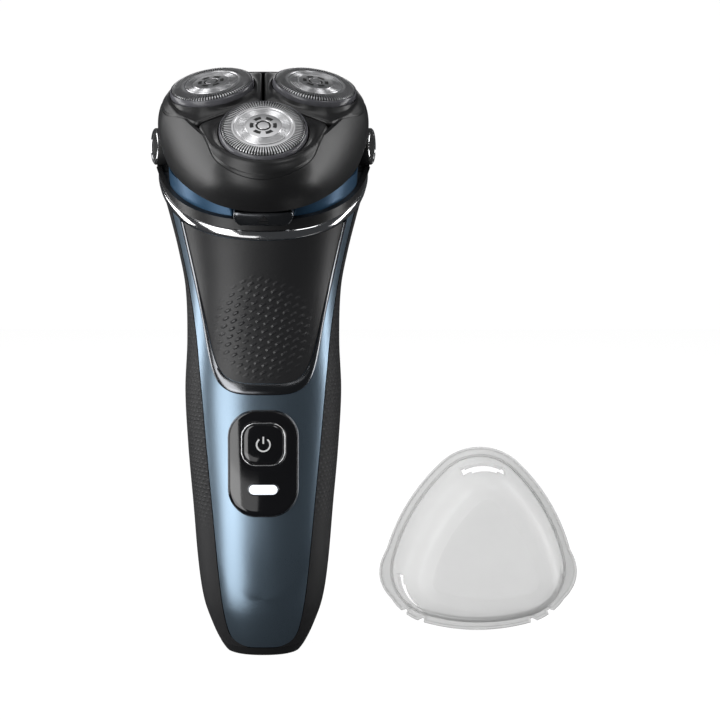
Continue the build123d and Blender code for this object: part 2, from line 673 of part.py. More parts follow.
with BuildPart() as head_frame:
    add(unit_outer)
    add(unit_solid(UNIT_WALL, None, UNIT_ROOF), mode=Mode.SUBTRACT)
    for degrees in HEAD_ANGLES.values():
        add(petal_prism(degrees, 0, PETAL_SEAT, 20), mode=Mode.SUBTRACT)
    add(hinge_knuckle(0, UNIT_KNUCKLE, HINGE_Z, LOBES[0][0] + 0.6, HINGE_RADIUS + RUNNING))
save(head_frame.part, "head_frame")

pivot_middle = HEAD.from_local_coords(Vector(0, PIVOT_Y, PIVOT_Z))
for side, name in ((-1, "left_pivot_cap"), (1, "right_pivot_cap")):
    normal = Vector(side * cos(radians(PIVOT_LEAN)), -sin(radians(PIVOT_LEAN)), 0)
    face = Plane(origin=(side * PIVOT_FACE, pivot_middle.Y, pivot_middle.Z), z_dir=normal)
    with BuildPart() as pivot_cap:
        with BuildSketch(face):
            Circle(PIVOT_RADIUS)
        extrude(amount=-PIVOT_DEPTH)
        add(unit_outer, mode=Mode.SUBTRACT)
    save(pivot_cap.part, name)

with BuildPart() as hair_chamber:
    add(unit_solid(UNIT_WALL, CHAMBER_LOW, CHAMBER_HIGH))
    with BuildSketch(HEAD.offset(CHAMBER_LOW - 1)):
        for degrees in HEAD_ANGLES.values():
            across, along = at_angle(GEAR_CENTRE + 1.5, degrees)
            with Locations((across, along + PORT_SHIFT)):
                Circle(PORT_RADIUS)
    extrude(amount=3, mode=Mode.SUBTRACT)
save(hair_chamber.part, "hair_chamber")

for name, degrees in HEAD_ANGLES.items():
    top = head_plane(degrees, AXIS_LENGTH)
    with BuildPart() as head_holder:
        add(petal_prism(degrees, -PETAL_GAP, PETAL_LOW, 20))
        add(unit_outer, mode=Mode.INTERSECT)
        with BuildSketch(top.offset(-14)):
            Circle(RIM_RADIUS + 0.05)
        extrude(amount=20, mode=Mode.SUBTRACT)
    save(head_holder.part, f"{name}_head_holder")

    with BuildPart() as guard_rim:
        with BuildSketch(top.offset(-5.6)):
            Circle(RIM_RADIUS)
            Circle(GUARD_RADIUS + 0.7, mode=Mode.SUBTRACT)
        extrude(amount=2.8)
        with BuildSketch(top.offset(-2.8)):
            Circle(RIM_RADIUS)
            Circle(GUARD_RADIUS, mode=Mode.SUBTRACT)
        extrude(amount=2.4)
    save(guard_rim.part, f"{name}_guard_rim")

    with BuildPart() as guard:
        with BuildSketch(top.offset(-GUARD_DEPTH)):
            Circle(GUARD_RADIUS)
        extrude(amount=GUARD_DEPTH)
        with BuildSketch(top.offset(-GUARD_DEPTH)):
            Circle(GUARD_RADIUS - 0.5)
        extrude(amount=GUARD_DEPTH - 0.5, mode=Mode.SUBTRACT)
        with BuildSketch(top):
            Circle(7.2)
            Circle(6.7, mode=Mode.SUBTRACT)
        extrude(amount=-0.2, mode=Mode.SUBTRACT)
    save(guard.part, f"{name}_guard")

    with BuildPart() as cutter:
        with BuildSketch(top.offset(-3.4)):
            Circle(8.9)
            Circle(5.6, mode=Mode.SUBTRACT)
            with PolarLocations(4.4, 3):
                Rectangle(3.6, 1.8)
            Circle(3.2)
        extrude(amount=0.6)
        with BuildSketch(top.offset(-2.8)):
            with PolarLocations(8.0, 15):
                Rectangle(1.4, 0.5)
        extrude(amount=2.0)
        with BuildSketch(top.offset(-5.2)):
            Circle(3.2)
        extrude(amount=1.8)
        with BuildSketch(top.offset(-5.2)):
            RegularPolygon(2.1, 6)
        extrude(amount=1.7, mode=Mode.SUBTRACT)
    save(cutter.part, f"{name}_cutter")

# ---- Release button and its spring ----

with BuildPart() as release_button:
    with BuildSketch(HEAD.offset(RELEASE_LOW)):
        with Locations((0, (RELEASE_FACE + RELEASE_BACK) / 2)):
            Rectangle(RELEASE_WIDTH, RELEASE_BACK - RELEASE_FACE)
    extrude(amount=RELEASE_HIGH - RELEASE_LOW)
    fillet(release_button.edges().filter_by(Axis(HEAD.origin, HEAD.z_dir)), 0.8)
save(release_button.part, "release_button")

with BuildPart() as release_spring:
    with BuildSketch(HEAD.offset(RELEASE_LOW - RELEASE_GAP)):
        with BuildLine():
            tip, root = RELEASE_BACK + RELEASE_TRAVEL + 0.15, RELEASE_BACK + 3.0
            Polyline(
                (LEAF_LEFT, root),
                (LEAF_RIGHT, tip),
                (LEAF_RIGHT, tip + LEAF_THICK),
                (LEAF_LEFT, root + LEAF_THICK),
                close=True,
            )
        make_face()
    extrude(amount=LEAF_HEIGHT)
save(release_spring.part, "release_spring")

# ---- Pop-up trimmer ----

with BuildPart() as trimmer_arm:
    with BuildSketch(Plane.YZ.offset(-TRIM_WIDTH / 2)):
        with Locations(((TRIM_FLOOR + 0.4 + 30) / 2, (TRIM_PIVOT_Z + TRIM_HIGH) / 2)):
            Rectangle(30 - TRIM_FLOOR - 0.4, TRIM_HIGH - TRIM_PIVOT_Z)
        with Locations((TRIM_PIVOT_Y, TRIM_PIVOT_Z)):
            Circle(TRIM_PIVOT_Y - TRIM_FLOOR - TRIM_GAP)
            Circle(TRIM_PIN + RUNNING, mode=Mode.SUBTRACT)
    extrude(amount=TRIM_WIDTH)
    add(outer, mode=Mode.INTERSECT)
    with Locations((0, (COMB_Y + BLADE_Y) / 2 + 0.4, TRIM_HIGH - 2)):
        Box(2 * COMB_HALF + 0.4, 1.9, 5.2, mode=Mode.SUBTRACT)
save(trimmer_arm.part, "trimmer_arm")

for name, low_y, half, tooth_top in (
    ("trimmer_comb", COMB_Y, COMB_HALF, TRIM_HIGH + 2.2),
    ("trimmer_blade", BLADE_Y, BLADE_HALF, TRIM_HIGH + 1.6),
):
    with BuildPart() as toothed:
        with Locations((0, low_y + COMB_THICK / 2, TRIM_HIGH - 2.2)):
            Box(2 * half, COMB_THICK, 4.0)
        with Locations((0, low_y + COMB_THICK / 2, (TRIM_HIGH - 0.2 + tooth_top) / 2)):
            with GridLocations(2 * (half - 0.4) / (TRIM_TEETH - 1), 1, TRIM_TEETH, 1):
                Box(0.7, COMB_THICK, tooth_top - TRIM_HIGH + 0.2)
    save(toothed.part, name)

with BuildPart() as trimmer_pin:
    with BuildSketch(Plane.YZ.offset(-recess_width / 2)):
        with Locations((TRIM_PIVOT_Y, TRIM_PIVOT_Z)):
            Circle(TRIM_PIN)
    extrude(amount=recess_width)
save(trimmer_pin.part, "trimmer_pin")

with BuildPart() as trimmer_switch:
    with Locations((0, 16.65, SWITCH_Z)):
        Box(SWITCH_WIDTH, 2.3, SWITCH_HEIGHT)
    fillet(trimmer_switch.edges().filter_by(Axis.Y), 1.2)
save(trimmer_switch.part, "trimmer_switch")

# ---- Protective cap ----

CAP = Plane(origin=(CAP_X, CAP_RIM_Y, CAP_SIDE), x_dir=(1, 0, 0), z_dir=(0, -1, 0))


def cap_dome(inset, deepest):
    """Solid dome of the cap, drawn in by inset, and no deeper than deepest."""
    with BuildPart() as dome:
        for depth, margin in CAP_DOME:
            with BuildSketch(CAP.offset(depth * deepest / CAP_DOME[-1][0])):
                with BuildLine():
                    shrink = margin + inset
                    rounded_triangle(
                        CAP_CORNER_CENTRE, CAP_CORNER_RADIUS - shrink, CAP_SIDE - shrink, first=90
                    )
                make_face()
        loft()
    return dome.part


with BuildPart() as protective_cap:
    with BuildSketch(CAP):
        with BuildLine():
            rounded_triangle(CAP_CORNER_CENTRE, CAP_CORNER_RADIUS, CAP_SIDE, first=90)
        make_face()
    extrude(amount=CAP_FLANGE)
    add(cap_dome(0, CAP_DOME[-1][0]))
    add(cap_dome(CAP_WALL, CAP_DOME[-1][0] - CAP_WALL), mode=Mode.SUBTRACT)
    for corner in (90, 210, 330):
        across, along = at_angle(CAP_CORNER_CENTRE, corner)
        ends = [at_angle(60, corner + turn) for turn in (-VENT_HALF_ANGLE, VENT_HALF_ANGLE)]
        with BuildSketch(CAP.offset(-1)):
            with Locations((across, along)):
                Circle(VENT_RADIUS + VENT_WIDTH / 2)
                Circle(VENT_RADIUS - VENT_WIDTH / 2, mode=Mode.SUBTRACT)
                Polygon((0, 0), *ends, align=None, mode=Mode.INTERSECT)
        extrude(amount=30, mode=Mode.SUBTRACT)
save(protective_cap.part, "protective_cap")
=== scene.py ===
"""Rotary electric shaver: steel-blue handle, tilted three-head shaving unit, loose clear cap."""

import json
from math import asin, atan2, cos, hypot, pi, radians, sin, sqrt

import bmesh
import bpy
from mathutils import Matrix, Vector

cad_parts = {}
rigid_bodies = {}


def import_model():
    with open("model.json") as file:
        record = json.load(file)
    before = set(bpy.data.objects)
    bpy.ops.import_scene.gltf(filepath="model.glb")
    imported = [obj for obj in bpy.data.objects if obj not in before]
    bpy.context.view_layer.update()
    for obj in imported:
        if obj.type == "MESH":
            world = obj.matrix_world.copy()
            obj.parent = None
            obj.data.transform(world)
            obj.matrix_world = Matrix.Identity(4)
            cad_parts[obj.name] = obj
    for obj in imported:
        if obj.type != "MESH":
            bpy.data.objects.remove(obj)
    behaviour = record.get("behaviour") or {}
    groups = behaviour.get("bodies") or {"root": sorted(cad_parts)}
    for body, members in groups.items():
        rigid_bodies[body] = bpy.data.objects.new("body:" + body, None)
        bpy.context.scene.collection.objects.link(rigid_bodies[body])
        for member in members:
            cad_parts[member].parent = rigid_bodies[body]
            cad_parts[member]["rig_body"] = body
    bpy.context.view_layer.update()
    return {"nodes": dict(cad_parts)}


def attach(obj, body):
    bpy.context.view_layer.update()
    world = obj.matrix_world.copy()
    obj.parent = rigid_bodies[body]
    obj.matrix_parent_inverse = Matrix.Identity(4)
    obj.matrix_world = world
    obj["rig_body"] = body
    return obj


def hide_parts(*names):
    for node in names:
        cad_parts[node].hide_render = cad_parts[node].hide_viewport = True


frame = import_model()


# ---- Hidden works: housing, board, cell, motor, gears ----
# Moulded inner shells carry the circuit board, a lithium cell and the motor with its gear
# train. Shells and gears are plain moulded plastic; motor, pins and spindles are steel.

MM = 0.001


class Link:
    """An output of one of a material's nodes; sums on it add Math nodes."""

    def __init__(self, coat, socket):
        self.coat, self.socket = coat, socket

    def math(self, operation, *values):
        return self.coat.node("Math", {"operation": operation}, dict(enumerate(values)))

    def __add__(self, other):
        return self.math("ADD", self, other)

    __radd__ = __add__

    def __sub__(self, other):
        return self.math("SUBTRACT", self, other)

    def __rsub__(self, other):
        return self.math("SUBTRACT", other, self)

    def __mul__(self, other):
        return self.math("MULTIPLY", self, other)

    __rmul__ = __mul__

    def __truediv__(self, other):
        return self.math("DIVIDE", self, other)

    def __abs__(self):
        return self.math("ABSOLUTE", self)

    def part(self):
        """The fraction left after whole steps."""
        return self.math("FRACT", self)

    def clamped(self):
        return self.coat.node("Clamp", None, {"Value": self})


class Coat:
    """A procedural finish, built round one Principled shader."""

    def __init__(self, name, fixed):
        self.material = bpy.data.materials.new(name)
        self.material.use_nodes = True
        self.tree = self.material.node_tree
        self.shader = self.tree.nodes["Principled BSDF"]
        for socket, value in fixed.items():
            self.shader.inputs[socket].default_value = value

    def node(self, kind, settings=None, sockets=None, output=0):
        made = self.tree.nodes.new("ShaderNode" + kind)
        for key, value in (settings or {}).items():
            setattr(made, key, value)
        for key, value in (sockets or {}).items():
            if isinstance(value, Link):
                self.tree.links.new(value.socket, made.inputs[key])
            else:
                made.inputs[key].default_value = value
        return Link(self, made.outputs[output])

    def feed(self, socket, link):
        self.tree.links.new(link.socket, self.shader.inputs[socket])

    def spot(self, centre=(0, 0, 80), turn=(0, 0, 0), stretch=(1, 1, 1)):
        """Place on the piece in millimetres about a centre, a stretched pattern running long."""
        middle = [value * MM for value in centre]
        here = self.node("TexCoord", output="Object")
        return self.node(
            "Mapping",
            {"vector_type": "TEXTURE"},
            {"Vector": here, "Location": middle, "Rotation": turn,
             "Scale": [value * MM for value in stretch]},
        )

    def axes(self, place):
        return [self.node("SeparateXYZ", None, {"Vector": place}, output=axis) for axis in "XYZ"]

    def noise(self, place, scale, detail=2.0):
        return self.node(
            "TexNoise", None, {"Vector": place, "Scale": scale, "Detail": detail}, output="Fac"
        )

    def mix(self, share, first, second):
        colours = [c if isinstance(c, Link) else (*c, 1.0) for c in (first, second)]
        return self.node(
            "Mix", {"data_type": "RGBA"}, {0: share, 6: colours[0], 7: colours[1]}, output=2
        )

    def bump(self, height, strength, depth):
        """Raises the surface by up to depth millimetres where height is 1."""
        self.feed("Normal", self.node(
            "Bump", None, {"Strength": strength, "Distance": depth * MM, "Height": height}
        ))


def moulded(name, colour, roughness, grain=0.06, metal=0.0, coat_weight=0.0):
    """Moulded or drawn stock: faint mottling, fine grain, gloss that varies a little."""
    coat = Coat(name, {"Metallic": metal, "Coat Weight": coat_weight, "Coat Roughness": 0.08})
    place = coat.spot()
    fine, broad = coat.noise(place, 2.6, 3.0), coat.noise(place, 0.09)
    darker = [value * 0.82 for value in colour]
    lighter = [value * 1.15 for value in colour]
    coat.feed("Base Color", coat.mix(broad, darker, lighter))
    coat.feed("Roughness", roughness + 0.10 * (fine - 0.5) + 0.08 * (broad - 0.5))
    coat.bump(fine, grain, 0.2)
    return coat.material


inner_plastic = moulded("inner_plastic", (0.05, 0.052, 0.055), 0.45)
white_gear_plastic = moulded("gear_plastic", (0.62, 0.61, 0.57), 0.4)
steel = moulded("steel", (0.56, 0.56, 0.57), 0.26, 0.05, metal=1.0)
battery_wrap = moulded("battery_wrap", (0.04, 0.16, 0.09), 0.3)
board_green = moulded("board_green", (0.015, 0.11, 0.045), 0.35)
seal_rubber = moulded("seal_rubber", (0.01, 0.01, 0.01), 0.7, 0.12)


def dress(coat, *names):
    """Gives CAD nodes a finish, their shape being right already."""
    for name in names:
        node = frame["nodes"][name]
        node.data.materials.clear()
        node.data.materials.append(coat)


dress(inner_plastic, "front_housing", "rear_housing", "drive_cover", "gear_plate", "hair_chamber",
      "charging_socket")
dress(steel, "motor_can", "motor_screws", "battery_contacts", "tactile_switch", "socket_pins",
      "release_spring", "trimmer_pin", "hinge_pin", "drive_pinion")
dress(battery_wrap, "battery_cell")
dress(board_green, "circuit_board")
dress(seal_rubber, "housing_seal")
SIDES = {"front": -90, "left": 150, "right": 30}
for side in SIDES:
    dress(white_gear_plastic, f"{side}_spindle_gear")
    dress(steel, f"{side}_drive_spindle", f"{side}_cutter")


# ---- Handle skins: steel-blue faceplate, rubber side grips ----
# The faceplate is a thin brushed, blue-lacquered metal skin that narrows to the foot. Two
# rubber grips wrap the sides; all are bonded to the housing with a fine seam between them.

# Outline of the handle: height, half width, depth in front, depth behind, in millimetres.
STATIONS = [
    (0, 10.2, 8.6, 8.6), (2.5, 11.9, 10.2, 10.2), (7, 14.0, 12.1, 12.1), (14, 16.4, 14.1, 14.0),
    (24, 17.9, 15.4, 15.2), (40, 19.2, 16.4, 16.0), (57, 20.6, 17.2, 16.5),
    (72, 21.3, 17.6, 16.8), (86, 20.7, 17.6, 16.9), (100, 21.1, 18.4, 17.2),
    (110, 22.9, 20.6, 17.5), (119, 25.1, 23.4, 17.7), (131, 28.3, 26.6, 17.9),
    (150, 31.5, 30.0, 18.2),
]
SQUARENESS = 2.25
FACE_EDGE = [(5.0, 2.9), (8.4, 5.0), (10.2, 10), (11.8, 21), (12.9, 32.5), (14.0, 45), (15.0, 56),
             (16.0, 68), (16.9, 78), (18.0, 89), (19.7, 100), (21.7, 110), (25.2, 125)]
FACE_FOOT, FOOT_HALF_WIDTH = 2.6, 4.0
GRIP_LOW, GRIP_TOP, GRIP_BACK, SEAM = 2.45, 142, 11.5, 0.12
HEAD_TILT, HEAD_Y, HEAD_Z = 32.7, -8.0, 136.7
BAND_LOW, BAND_HIGH = -12.8, -10.4
SKIN_TOP = BAND_LOW - 0.05
BUTTON_Z, BUTTON_HOLE = 59.4, 6.6
# From the shaving unit's own millimetres to the row frame: its axis leans forward.
UNIT = Matrix.Translation((0, HEAD_Y * MM, HEAD_Z * MM)) @ Matrix.Rotation(
    radians(HEAD_TILT), 4, "X"
)


def on_unit(x, y, z):
    """A point of the shaving unit's frame in the row frame, both in millimetres."""
    return UNIT @ (Vector((x, y, z)) * MM) / MM


def blended(table, key):
    """Values at a key between a table's rows, on a smooth curve through them."""
    key = min(max(key, table[0][0]), table[-1][0])
    low = max(index for index in range(len(table) - 1) if table[index][0] <= key)
    before, start, end, after = (
        table[min(max(index, 0), len(table) - 1)] for index in range(low - 1, low + 3)
    )
    span = end[0] - start[0]
    share = (key - start[0]) / span
    values = []
    for first, second, third, fourth in zip(before[1:], start[1:], end[1:], after[1:]):
        rise_in = (third - first) / max(end[0] - before[0], 1e-9) * span
        rise_out = (fourth - second) / max(after[0] - start[0], 1e-9) * span
        values.append(
            second * (2 * share**3 - 3 * share**2 + 1) + third * (3 * share**2 - 2 * share**3)
            + rise_in * (share**3 - 2 * share**2 + share) + rise_out * (share**3 - share**2)
        )
    return values


def edge_run(points):
    """An edge through points as a table of length along it, x and z."""
    run = [(0.0, *points[0])]
    for last, point in zip(points, points[1:]):
        run.append((run[-1][0] + hypot(point[0] - last[0], point[1] - last[1]), *point))
    return run


def front_point(x, z, lift=0.0):
    """Point on the front of the handle at x and z, lifted off the skin."""
    half_width, depth, _ = blended(STATIONS, z)
    reach = min(abs(x) / (half_width + lift), 1.0)
    return x, -(depth + lift) * (1 - reach**SQUARENESS) ** (1 / SQUARENESS), z


def round_point(angle, z, lift=0.0):
    """Point on the handle at a height and an angle from its back centre line."""
    half_width, front, back = blended(STATIONS, z)
    sideways, along = sin(angle), cos(angle)
    depth = back if along > 0 else front
    power = 2 / SQUARENESS
    x = (half_width + lift) * abs(sideways) ** power * (1 if sideways > 0 else -1)
    y = (depth + lift) * abs(along) ** power * (1 if along > 0 else -1)
    return x, y, z


def wrapped(columns, rows, place, facing=None):
    """A grid laid on a surface: place(across, along) says where, both from 0 to 1."""
    form = bmesh.new()
    bmesh.ops.create_grid(form, x_segments=columns, y_segments=rows, size=0.5)
    for vert in form.verts:
        vert.co = Vector(place(vert.co.x + 0.5, vert.co.y + 0.5)) * MM
    bmesh.ops.remove_doubles(form, verts=form.verts, dist=2e-6)
    bmesh.ops.recalc_face_normals(form, faces=form.faces)
    if facing:
        middle = sum((face.normal * face.calc_area() for face in form.faces), Vector())
        if middle.dot(Vector(facing)) < 0:
            bmesh.ops.reverse_faces(form, faces=form.faces)
    return form


def cut_at(form, height):
    """Cuts off what is above a height on the shaving unit's axis."""
    bmesh.ops.bisect_plane(
        form, geom=form.verts[:] + form.edges[:] + form.faces[:], dist=1e-7,
        plane_co=UNIT @ Vector((0, 0, height * MM)),
        plane_no=UNIT.to_3x3() @ Vector((0, 0, 1)),
        clear_outer=True,
    )


def fitted(name, form, coat, node, hides=(), wall=0.0, edge=0.0, angle=38, seat=None):
    """Makes a form a piece that moves with a CAD node's body, with its wall and edges."""
    if seat:
        bmesh.ops.transform(form, matrix=seat, verts=form.verts)
    data = bpy.data.meshes.new(name)
    form.to_mesh(data)
    form.free()
    data.materials.append(coat)
    data.polygons.foreach_set("use_smooth", [True] * len(data.polygons))
    data.set_sharp_from_angle(angle=radians(angle))
    piece = bpy.data.objects.new(name, data)
    bpy.context.scene.collection.objects.link(piece)
    if wall:
        thick = piece.modifiers.new("wall", "SOLIDIFY")
        thick.thickness, thick.offset, thick.use_quality_normals = wall * MM, -1.0, True
    if edge:
        round_edge = piece.modifiers.new("edge", "BEVEL")
        round_edge.width, round_edge.segments, round_edge.harden_normals = edge * MM, 3, True
        round_edge.limit_method, round_edge.angle_limit = "ANGLE", radians(40)
    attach(piece, frame["nodes"][node]["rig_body"])
    if hides:
        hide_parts(*hides)


face_run = edge_run([(0.0, FACE_FOOT)] + FACE_EDGE)
# The first row lies this far along an edge, clear of the point where both halves meet.
FIRST_ROW = 3.5


def on_face(run, lift=0.0, shrink=0.0):
    """Lays a grid between an edge and its mirror image, row by row up the handle."""

    def place(across, along):
        x, z = blended(run, FIRST_ROW + along * (run[-1][0] - FIRST_ROW))
        return front_point((2 * across - 1) * (x - shrink), z, lift)

    return place


# Blue lacquer over vertical brushing.
brushed_blue = Coat("brushed_blue", {"Metallic": 0.9, "Anisotropic": 0.35})
grain = brushed_blue.noise(brushed_blue.spot(stretch=(0.05, 0.05, 6.0)), 1.0, 3.0)
broad = brushed_blue.noise(brushed_blue.spot(), 0.05)
brushed_blue.feed(
    "Base Color", brushed_blue.mix(grain, (0.185, 0.25, 0.315), (0.215, 0.285, 0.355))
)
brushed_blue.feed("Roughness", 0.30 + 0.10 * (grain - 0.5) + 0.06 * (broad - 0.5))
brushed_blue.bump(grain, 0.10, 0.05)

plate = wrapped(72, 150, on_face(face_run, shrink=SEAM), (0, -1, 0))
cut_at(plate, SKIN_TOP)
hole = []
for face in plate.faces:
    middle = face.calc_center_median() / MM
    if max(abs(middle.x), abs(middle.z - BUTTON_Z)) < BUTTON_HOLE:
        hole.append(face)
bmesh.ops.delete(plate, geom=hole, context="FACES")
fitted("faceplate_skin", plate, brushed_blue.material, "front_faceplate",
       ["front_faceplate"], wall=1.2, edge=0.3)

# Matte rubber with fine raised dots from the collar down to the lower third.
rubber = Coat("rubber_grip", {"Specular IOR Level": 0.35})
place = rubber.spot((0, 0, 0))
_, y_at, z_at = rubber.axes(place)
row = z_at / 1.15
cell = (y_at / 1.3 + 0.5 * (row.math("FLOOR", row) / 2).part() * 2).part() - 0.5
climb = row.part() - 0.5
dot = (1.0 - 9.0 * (cell * cell + climb * climb)).clamped()
shown = ((z_at - 34) / 12).clamped()
powder = rubber.noise(place, 3.0, 3.0)
rubber.feed("Base Color", rubber.mix(dot * shown, (0.011, 0.011, 0.012), (0.02, 0.02, 0.021)))
rubber.feed("Roughness", 0.58 - 0.14 * dot * shown + 0.1 * (powder - 0.5))
rubber.bump(dot * shown + 0.12 * powder, 0.55, 0.22)

edge_by_height = [(z, x) for x, z in [(0.0, FACE_FOOT)] + FACE_EDGE]


def face_half_width(z):
    """Half the faceplate's width at a height; its rounded foot is cut straight for the grips."""
    (foot_x, foot_z), (next_x, next_z) = FACE_EDGE[:2]
    if z < foot_z:
        return FOOT_HALF_WIDTH
    if z <= next_z:
        return foot_x + (next_x - foot_x) * (z - foot_z) / (next_z - foot_z)
    return blended(edge_by_height, z)[0]


for side, name in ((-1, "left_grip"), (1, "right_grip")):

    def grip_place(across, along):
        z = GRIP_LOW + along * (GRIP_TOP - GRIP_LOW)
        half_width = blended(STATIONS, z)[0]
        front_share = min((face_half_width(z) + SEAM) / half_width, 1.0)
        back_share = min((GRIP_BACK + SEAM) / half_width, 1.0)
        front_edge = pi - asin(front_share ** (SQUARENESS / 2))
        back_edge = asin(back_share ** (SQUARENESS / 2))
        return round_point(side * (front_edge + (back_edge - front_edge) * across), z)

    grip = wrapped(40, 150, grip_place, (side, 0, 0))
    cut_at(grip, SKIN_TOP)
    fitted(f"{name}_skin", grip, rubber.material, name, [name], wall=1.2, edge=0.3)


# ---- Thumb panel and its trim strip ----
# A dark textured thumb panel carries short raised dashes that climb to the right and fade to
# dots. A gunmetal strip frames it in a U and clips into the faceplate.

PANEL_EDGE = [(7.8, 72.9), (11.7, 75.3), (13.9, 80), (16.4, 93), (18.9, 104.5), (23.4, 125)]
PANEL_INNER = [(7.0, 75.9), (10.5, 77.8), (12.8, 82.2), (15.5, 93), (18.1, 104.5), (22.6, 125)]
PANEL_FOOT, PANEL_INNER_FOOT = 72.4, 75.4

panel = Coat("panel_texture", {"Specular IOR Level": 0.5})
place = panel.spot((0, 0, 90))
x_at, _, z_at = panel.axes(place)
rise = 0.52
down = (z_at * cos(rise) - x_at * sin(rise)) / 1.55
run = (x_at * cos(rise) + z_at * sin(rise)) / 2.9
stagger = (down.math("FLOOR", down) / 2).part()
dash_x = abs((run + stagger).part() - 0.5)
dash_z = abs(down.part() - 0.5)
dash = (5.0 * (0.33 - dash_x)).clamped() * (7.0 * (0.27 - dash_z)).clamped()
reach = (x_at * x_at) / 190 + (z_at * z_at) / 210
strong = (1.5 * (1.0 - reach)).clamped()
powder = panel.noise(place, 2.4, 3.0)
# The raised dashes are coloured a little lighter than the panel: a painted highlight on their tops,
# which fades with the pattern.
panel.feed("Base Color", panel.mix(dash * strong, (0.013, 0.013, 0.014), (0.028, 0.028, 0.03)))
panel.feed("Roughness", 0.42 - 0.10 * dash * strong + 0.12 * (powder - 0.5))
panel.bump(dash * strong + 0.06 * powder, 0.7, 0.32)

inner_run = edge_run([(0.0, PANEL_INNER_FOOT)] + PANEL_INNER)
thumb = wrapped(80, 110, on_face(inner_run, 0.18, 0.1), (0, -1, 0))
cut_at(thumb, SKIN_TOP)
fitted("thumb_panel", thumb, panel.material, "front_grip_panel",
       ["front_grip_panel"], wall=0.9, edge=0.2)

gunmetal = moulded("gunmetal", (0.17, 0.175, 0.185), 0.2, 0.03, metal=1.0)


def whole_edge(points, foot):
    """The edge's whole U, from its left end round its foot to its right end."""
    return edge_run([(-x, z) for x, z in reversed(points)] + [(0.0, foot)] + points)


outer_u, inner_u = whole_edge(PANEL_EDGE, PANEL_FOOT), whole_edge(PANEL_INNER, PANEL_INNER_FOOT)
# Across the strip: share of the way from its outer to its inner edge, and lift off the skin.
STRIP = [(0, -0.5), (0.02, 0.22), (0.12, 0.42), (0.5, 0.46), (0.9, 0.40), (0.98, 0.2), (1, -0.5)]


def strip_place(across, along):
    outer_x, outer_z = blended(outer_u, along * outer_u[-1][0])
    inner_x, inner_z = blended(inner_u, along * inner_u[-1][0])
    share, lift = STRIP[round(across * (len(STRIP) - 1))]
    return front_point(
        outer_x + (inner_x - outer_x) * share, outer_z + (inner_z - outer_z) * share, lift
    )


strip = wrapped(len(STRIP) - 1, 180, strip_place, (0, -1, 0))
cut_at(strip, SKIN_TOP)
fitted("panel_strip", strip, gunmetal, "panel_trim", ["panel_trim"], angle=60)


# ---- Back: rear panel, base, pop-up trimmer and its switch ----
# Satin black moulded panels close the back and the foot. A flush trimmer with a steel comb
# and blade hinges at the back; the slider under it lets it out.

black_plastic = moulded("black_plastic", (0.012, 0.012, 0.0125), 0.36, 0.05)


def rounded_copy(node, coat):
    """A CAD node's own shape with its triangles joined, so that it shades smoothly."""
    form = bmesh.new()
    form.from_mesh(frame["nodes"][node].data)
    bmesh.ops.remove_doubles(form, verts=form.verts, dist=2e-6)
    fitted(f"{node}_cover", form, coat, node, [node], angle=32)


for node in ("rear_panel", "base_cap", "trimmer_arm", "trimmer_switch", "collar_ring"):
    rounded_copy(node, black_plastic)
dress(steel, "trimmer_comb", "trimmer_blade")


# ---- Bezel, power button and charge light ----
# A gloss black lens frames the power button and the charge light. The button is a crowned
# rounded square in a thin bright ring, with a printed power symbol; the light glows white.

BEZEL_WIDTH, BEZEL_HEIGHT, BEZEL_CORNER, BEZEL_Z = 18.2, 28.2, 7.2, 54.2
gloss_black = moulded("gloss_black", (0.006, 0.006, 0.007), 0.09, 0.008, coat_weight=0.4)
chrome = moulded("chrome", (0.78, 0.78, 0.79), 0.12, 0.02, metal=1.0)
print_white = moulded("print_white", (0.8, 0.8, 0.8), 0.4)


def rounded_outline(share, width, height, corner):
    """Point on a rounded rectangle's edge, share of the way round it."""
    quarter, rest = divmod(share * 4 % 4, 1)
    quarter = int(quarter)
    signs = [(1, 1), (-1, 1), (-1, -1), (1, -1)]

    def corner_point(which, degrees):
        across, up = signs[which % 4]
        return (across * (width / 2 - corner) + corner * cos(radians(degrees)),
                up * (height / 2 - corner) + corner * sin(radians(degrees)))

    if rest < 0.7:
        return corner_point(quarter, 90 * (quarter + rest / 0.7))
    start = corner_point(quarter, 90 * (quarter + 1))
    end = corner_point(quarter + 1, 90 * (quarter + 1))
    share = (rest - 0.7) / 0.3
    return start[0] + (end[0] - start[0]) * share, start[1] + (end[1] - start[1]) * share


def framed(rings, around=160):
    """A raised form on the front of the handle from rounded-rectangle rings.

    Each ring is width, height, corner, middle height z and lift off the skin."""

    def place(across, along):
        width, height, corner, middle, lift = rings[round(along * (len(rings) - 1))]
        if width <= 0:
            return front_point(0, middle, lift)
        x, z = rounded_outline(across, width, height, corner)
        return front_point(x, z + middle, lift)

    return wrapped(around, len(rings) - 1, place, (0, -1, 0))


def between(first, last, count):
    """Rings at even steps between two rings."""
    return [
        [a + (b - a) * step / count for a, b in zip(first, last)] for step in range(1, count)
    ]


